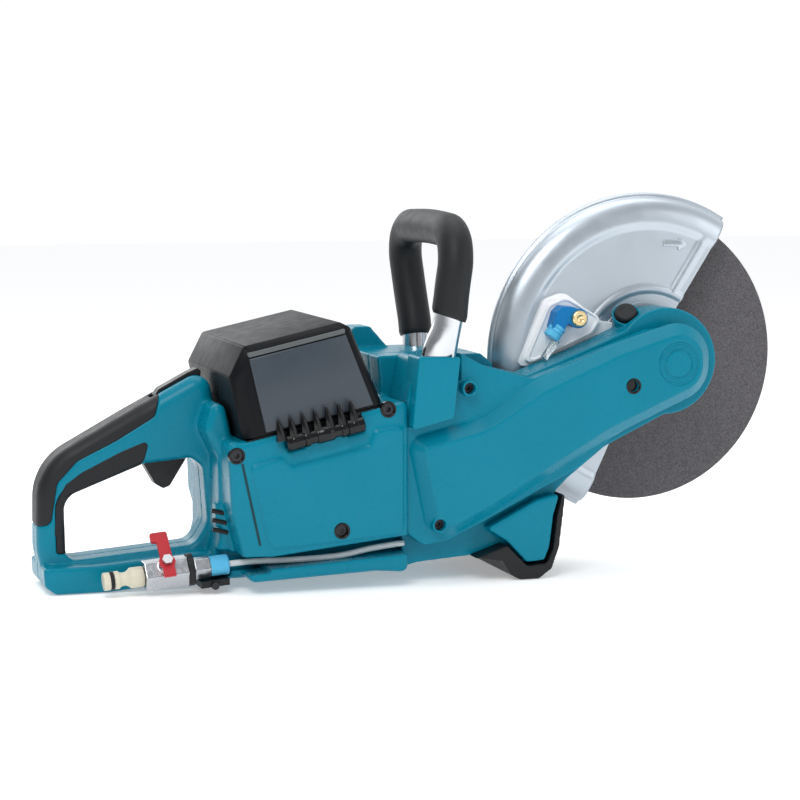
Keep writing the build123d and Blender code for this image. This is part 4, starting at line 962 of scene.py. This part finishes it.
class SAW_OT_water_valve(bpy.types.Operator):
    """Turns the hose nipple and bevels the valve, its lever and its fittings"""
    bl_idname = "saw.water_valve"
    bl_label = "Water valve"

    def execute(self, context):
        rise = math.radians(5.3)
        ahead = Vector((math.cos(rise), 0, math.sin(rise)))
        start = from_axle(-437, 11.5, -51 * MM)
        nipple = lathe("hose_tail", start, ahead,
                       [(4.0, 0.0), (6.0, 0.0), (6.6, 0.6), (6.6, 4.4), (6.2, 5.0), (5.2, 5.2), (5.2, 7.7),
                        (6.2, 8.0), (6.6, 8.4), (6.6, 11.2), (5.4, 12.4), (4.9, 14.0), (5.0, 16.5),
                        (6.2, 18.6), (7.3, 19.6), (7.6, 20.4), (7.6, 28.6), (7.0, 29.6), (4.0, 29.6),
                        (4.0, 0.0)])
        finish(nipple, "saw", LOOKS["cream"], "hose_nipple", angle=35)
        ring = lathe("tail_ring", start + ahead * 5.1 * MM, ahead,
                     [(5.2, 0.0), (6.4, 0.1), (6.95, 0.8), (6.95, 1.9), (6.4, 2.6), (5.2, 2.7), (5.2, 0.0)])
        finish(ring, "saw", LOOKS["grip"], "nipple_oring", angle=50)
        route = ((-346, 20.0, -51), (-326, 21.4, -53), (-297, 22.3, -60), (-264, 24.0, -63),
                 (-238, 28.2, -62.5), (-212, 30.5, -59))
        places = smooth_path([from_axle(x, z, y * MM) for x, z, y in route], 10)
        tube = swept("supply_tube", places, [(2.3, 2.3)] * len(places), 24, (0, 1, 0))
        finish(tube, "saw", LOOKS["milky"], "water_tube", angle=0)
        for name, node, body, look, passes in (
                ("valve_hexagon", "valve_body", "saw", "nickel", 4),
                ("adapter_hexagon", "hose_adapter", "saw", "nickel", 2),
                ("lever_blade", "valve_lever", "valve", "red", 3),
                ("strap_band", "valve_strap", "saw", "grip", 4)):
            piece = moulded(cad_copy(name, node), 0.4 * MM, passes)
            finish(piece, body, LOOKS[look], node, angle=0)
        return {"FINISHED"}


class SAW_OT_stage(bpy.types.Operator):
    """Lays the floor, hangs the lights and sets the camera"""
    bl_idname = "saw.stage"
    bl_label = "Studio"

    def execute(self, context):
        scene = context.scene
        floor_mesh = bpy.data.meshes.new("floor")
        size = 6.0
        floor_mesh.from_pydata([(-size, -size, 0), (size, -size, 0), (size, size, 0), (-size, size, 0)], [],
                               [(0, 1, 2, 3)])
        floor = new_piece("floor", floor_mesh)
        floor.location.z = -0.5 * MM
        paper = Surface("pale_floor", (0.90, 0.90, 0.90), 0.95, Specular_IOR_Level=0.0,
                        Emission_Color=(1, 1, 1, 1), Emission_Strength=0.32)
        floor_mesh.materials.append(paper.material)
        scene.view_settings.view_transform = "Standard"
        world = bpy.data.worlds.new("studio_air")
        world.use_nodes = True
        nodes, links = world.node_tree.nodes, world.node_tree.links
        background = nodes["Background"]
        background.inputs["Color"].default_value = (0.97, 0.985, 1.0, 1)
        direction = nodes.new("ShaderNodeSeparateXYZ")
        links.new(nodes.new("ShaderNodeTexCoord").outputs["Generated"], direction.inputs["Vector"])
        fade = nodes.new("ShaderNodeMapRange")
        for key, value in (("From Min", -0.7), ("From Max", 0.35), ("To Min", 0.42), ("To Max", 1.05)):
            fade.inputs[key].default_value = value
        links.new(direction.outputs["Y"], fade.inputs["Value"])
        side = nodes.new("ShaderNodeMapRange")
        for key, value in (("From Min", -0.95), ("From Max", -0.25), ("To Min", 0.4), ("To Max", 1.0)):
            side.inputs[key].default_value = value
        links.new(direction.outputs["X"], side.inputs["Value"])
        whole = nodes.new("ShaderNodeMath")
        whole.operation = "MULTIPLY"
        links.new(fade.outputs["Result"], whole.inputs[0])
        links.new(side.outputs["Result"], whole.inputs[1])
        links.new(whole.outputs["Value"], background.inputs["Strength"])
        scene.world = world
        for name, place, aim, power, width in (
                ("key", (-0.8, -1.3, 1.5), (0, 0, 0.12), 17, 0.9),
                ("top", (0.1, 0.1, 1.7), (0, 0, 0.1), 9, 1.4),
                ("fill", (1.4, -1.2, 0.7), (0.1, 0, 0.12), 5, 1.0),
                ("rim", (-0.6, 1.5, 1.0), (0, 0, 0.12), 8, 1.2)):
            lamp = bpy.data.lights.new(name, "AREA")
            lamp.energy, lamp.size = power, width
            light = bpy.data.objects.new(name, lamp)
            light.location = place
            light.rotation_euler = (Vector(aim) - Vector(place)).to_track_quat("-Z", "Y").to_euler()
            scene.collection.objects.link(light)
        camera = bpy.data.cameras.new("camera")
        camera.lens, camera.sensor_width = 108, 36     # millimetres
        eye = bpy.data.objects.new("camera", camera)
        eye.location = (-0.555, -1.751, 0.328)
        azimuth, elevation = math.radians(-17.16), math.radians(6.13)
        look = Vector((-math.sin(azimuth) * math.cos(elevation), math.cos(azimuth) * math.cos(elevation),
                       -math.sin(elevation)))
        eye.rotation_euler = look.to_track_quat("-Z", "Y").to_euler()
        scene.collection.objects.link(eye)
        scene.camera = eye
        return {"FINISHED"}


OPERATORS = (SAW_OT_looks, SAW_OT_housing, SAW_OT_arm, SAW_OT_small_mouldings, SAW_OT_rear_grips,
             SAW_OT_front_handle, SAW_OT_guard, SAW_OT_spray_fitting, SAW_OT_wheel, SAW_OT_lid, SAW_OT_screws,
             SAW_OT_button, SAW_OT_water_valve, SAW_OT_stage)


class SAW_PT_panel(bpy.types.Panel):
    """Lists the steps and sizes of the saw"""
    bl_idname = "SAW_PT_panel"
    bl_label = "Cut-off saw"
    bl_space_type = "VIEW_3D"
    bl_region_type = "UI"
    bl_category = "Saw"

    def draw(self, context):
        for operator in OPERATORS:
            self.layout.operator(operator.bl_idname)
        for group, kind in GROUPS.items():
            box = self.layout.box()
            for key in kind.__annotations__:
                box.prop(getattr(context.scene, group), key)


CLASSES = (*GROUPS.values(), *OPERATORS, SAW_PT_panel)


def register():
    for kind in CLASSES:
        bpy.utils.register_class(kind)
    for group, kind in GROUPS.items():
        setattr(bpy.types.Scene, group, bpy.props.PointerProperty(type=kind))


def unregister():
    for group in GROUPS:
        delattr(bpy.types.Scene, group)
    for kind in reversed(CLASSES):
        bpy.utils.unregister_class(kind)


def main():
    register()
    for operator in OPERATORS:
        group, name = operator.bl_idname.split(".")
        getattr(getattr(bpy.ops, group), name)()


if __name__ == "__main__":
    main()
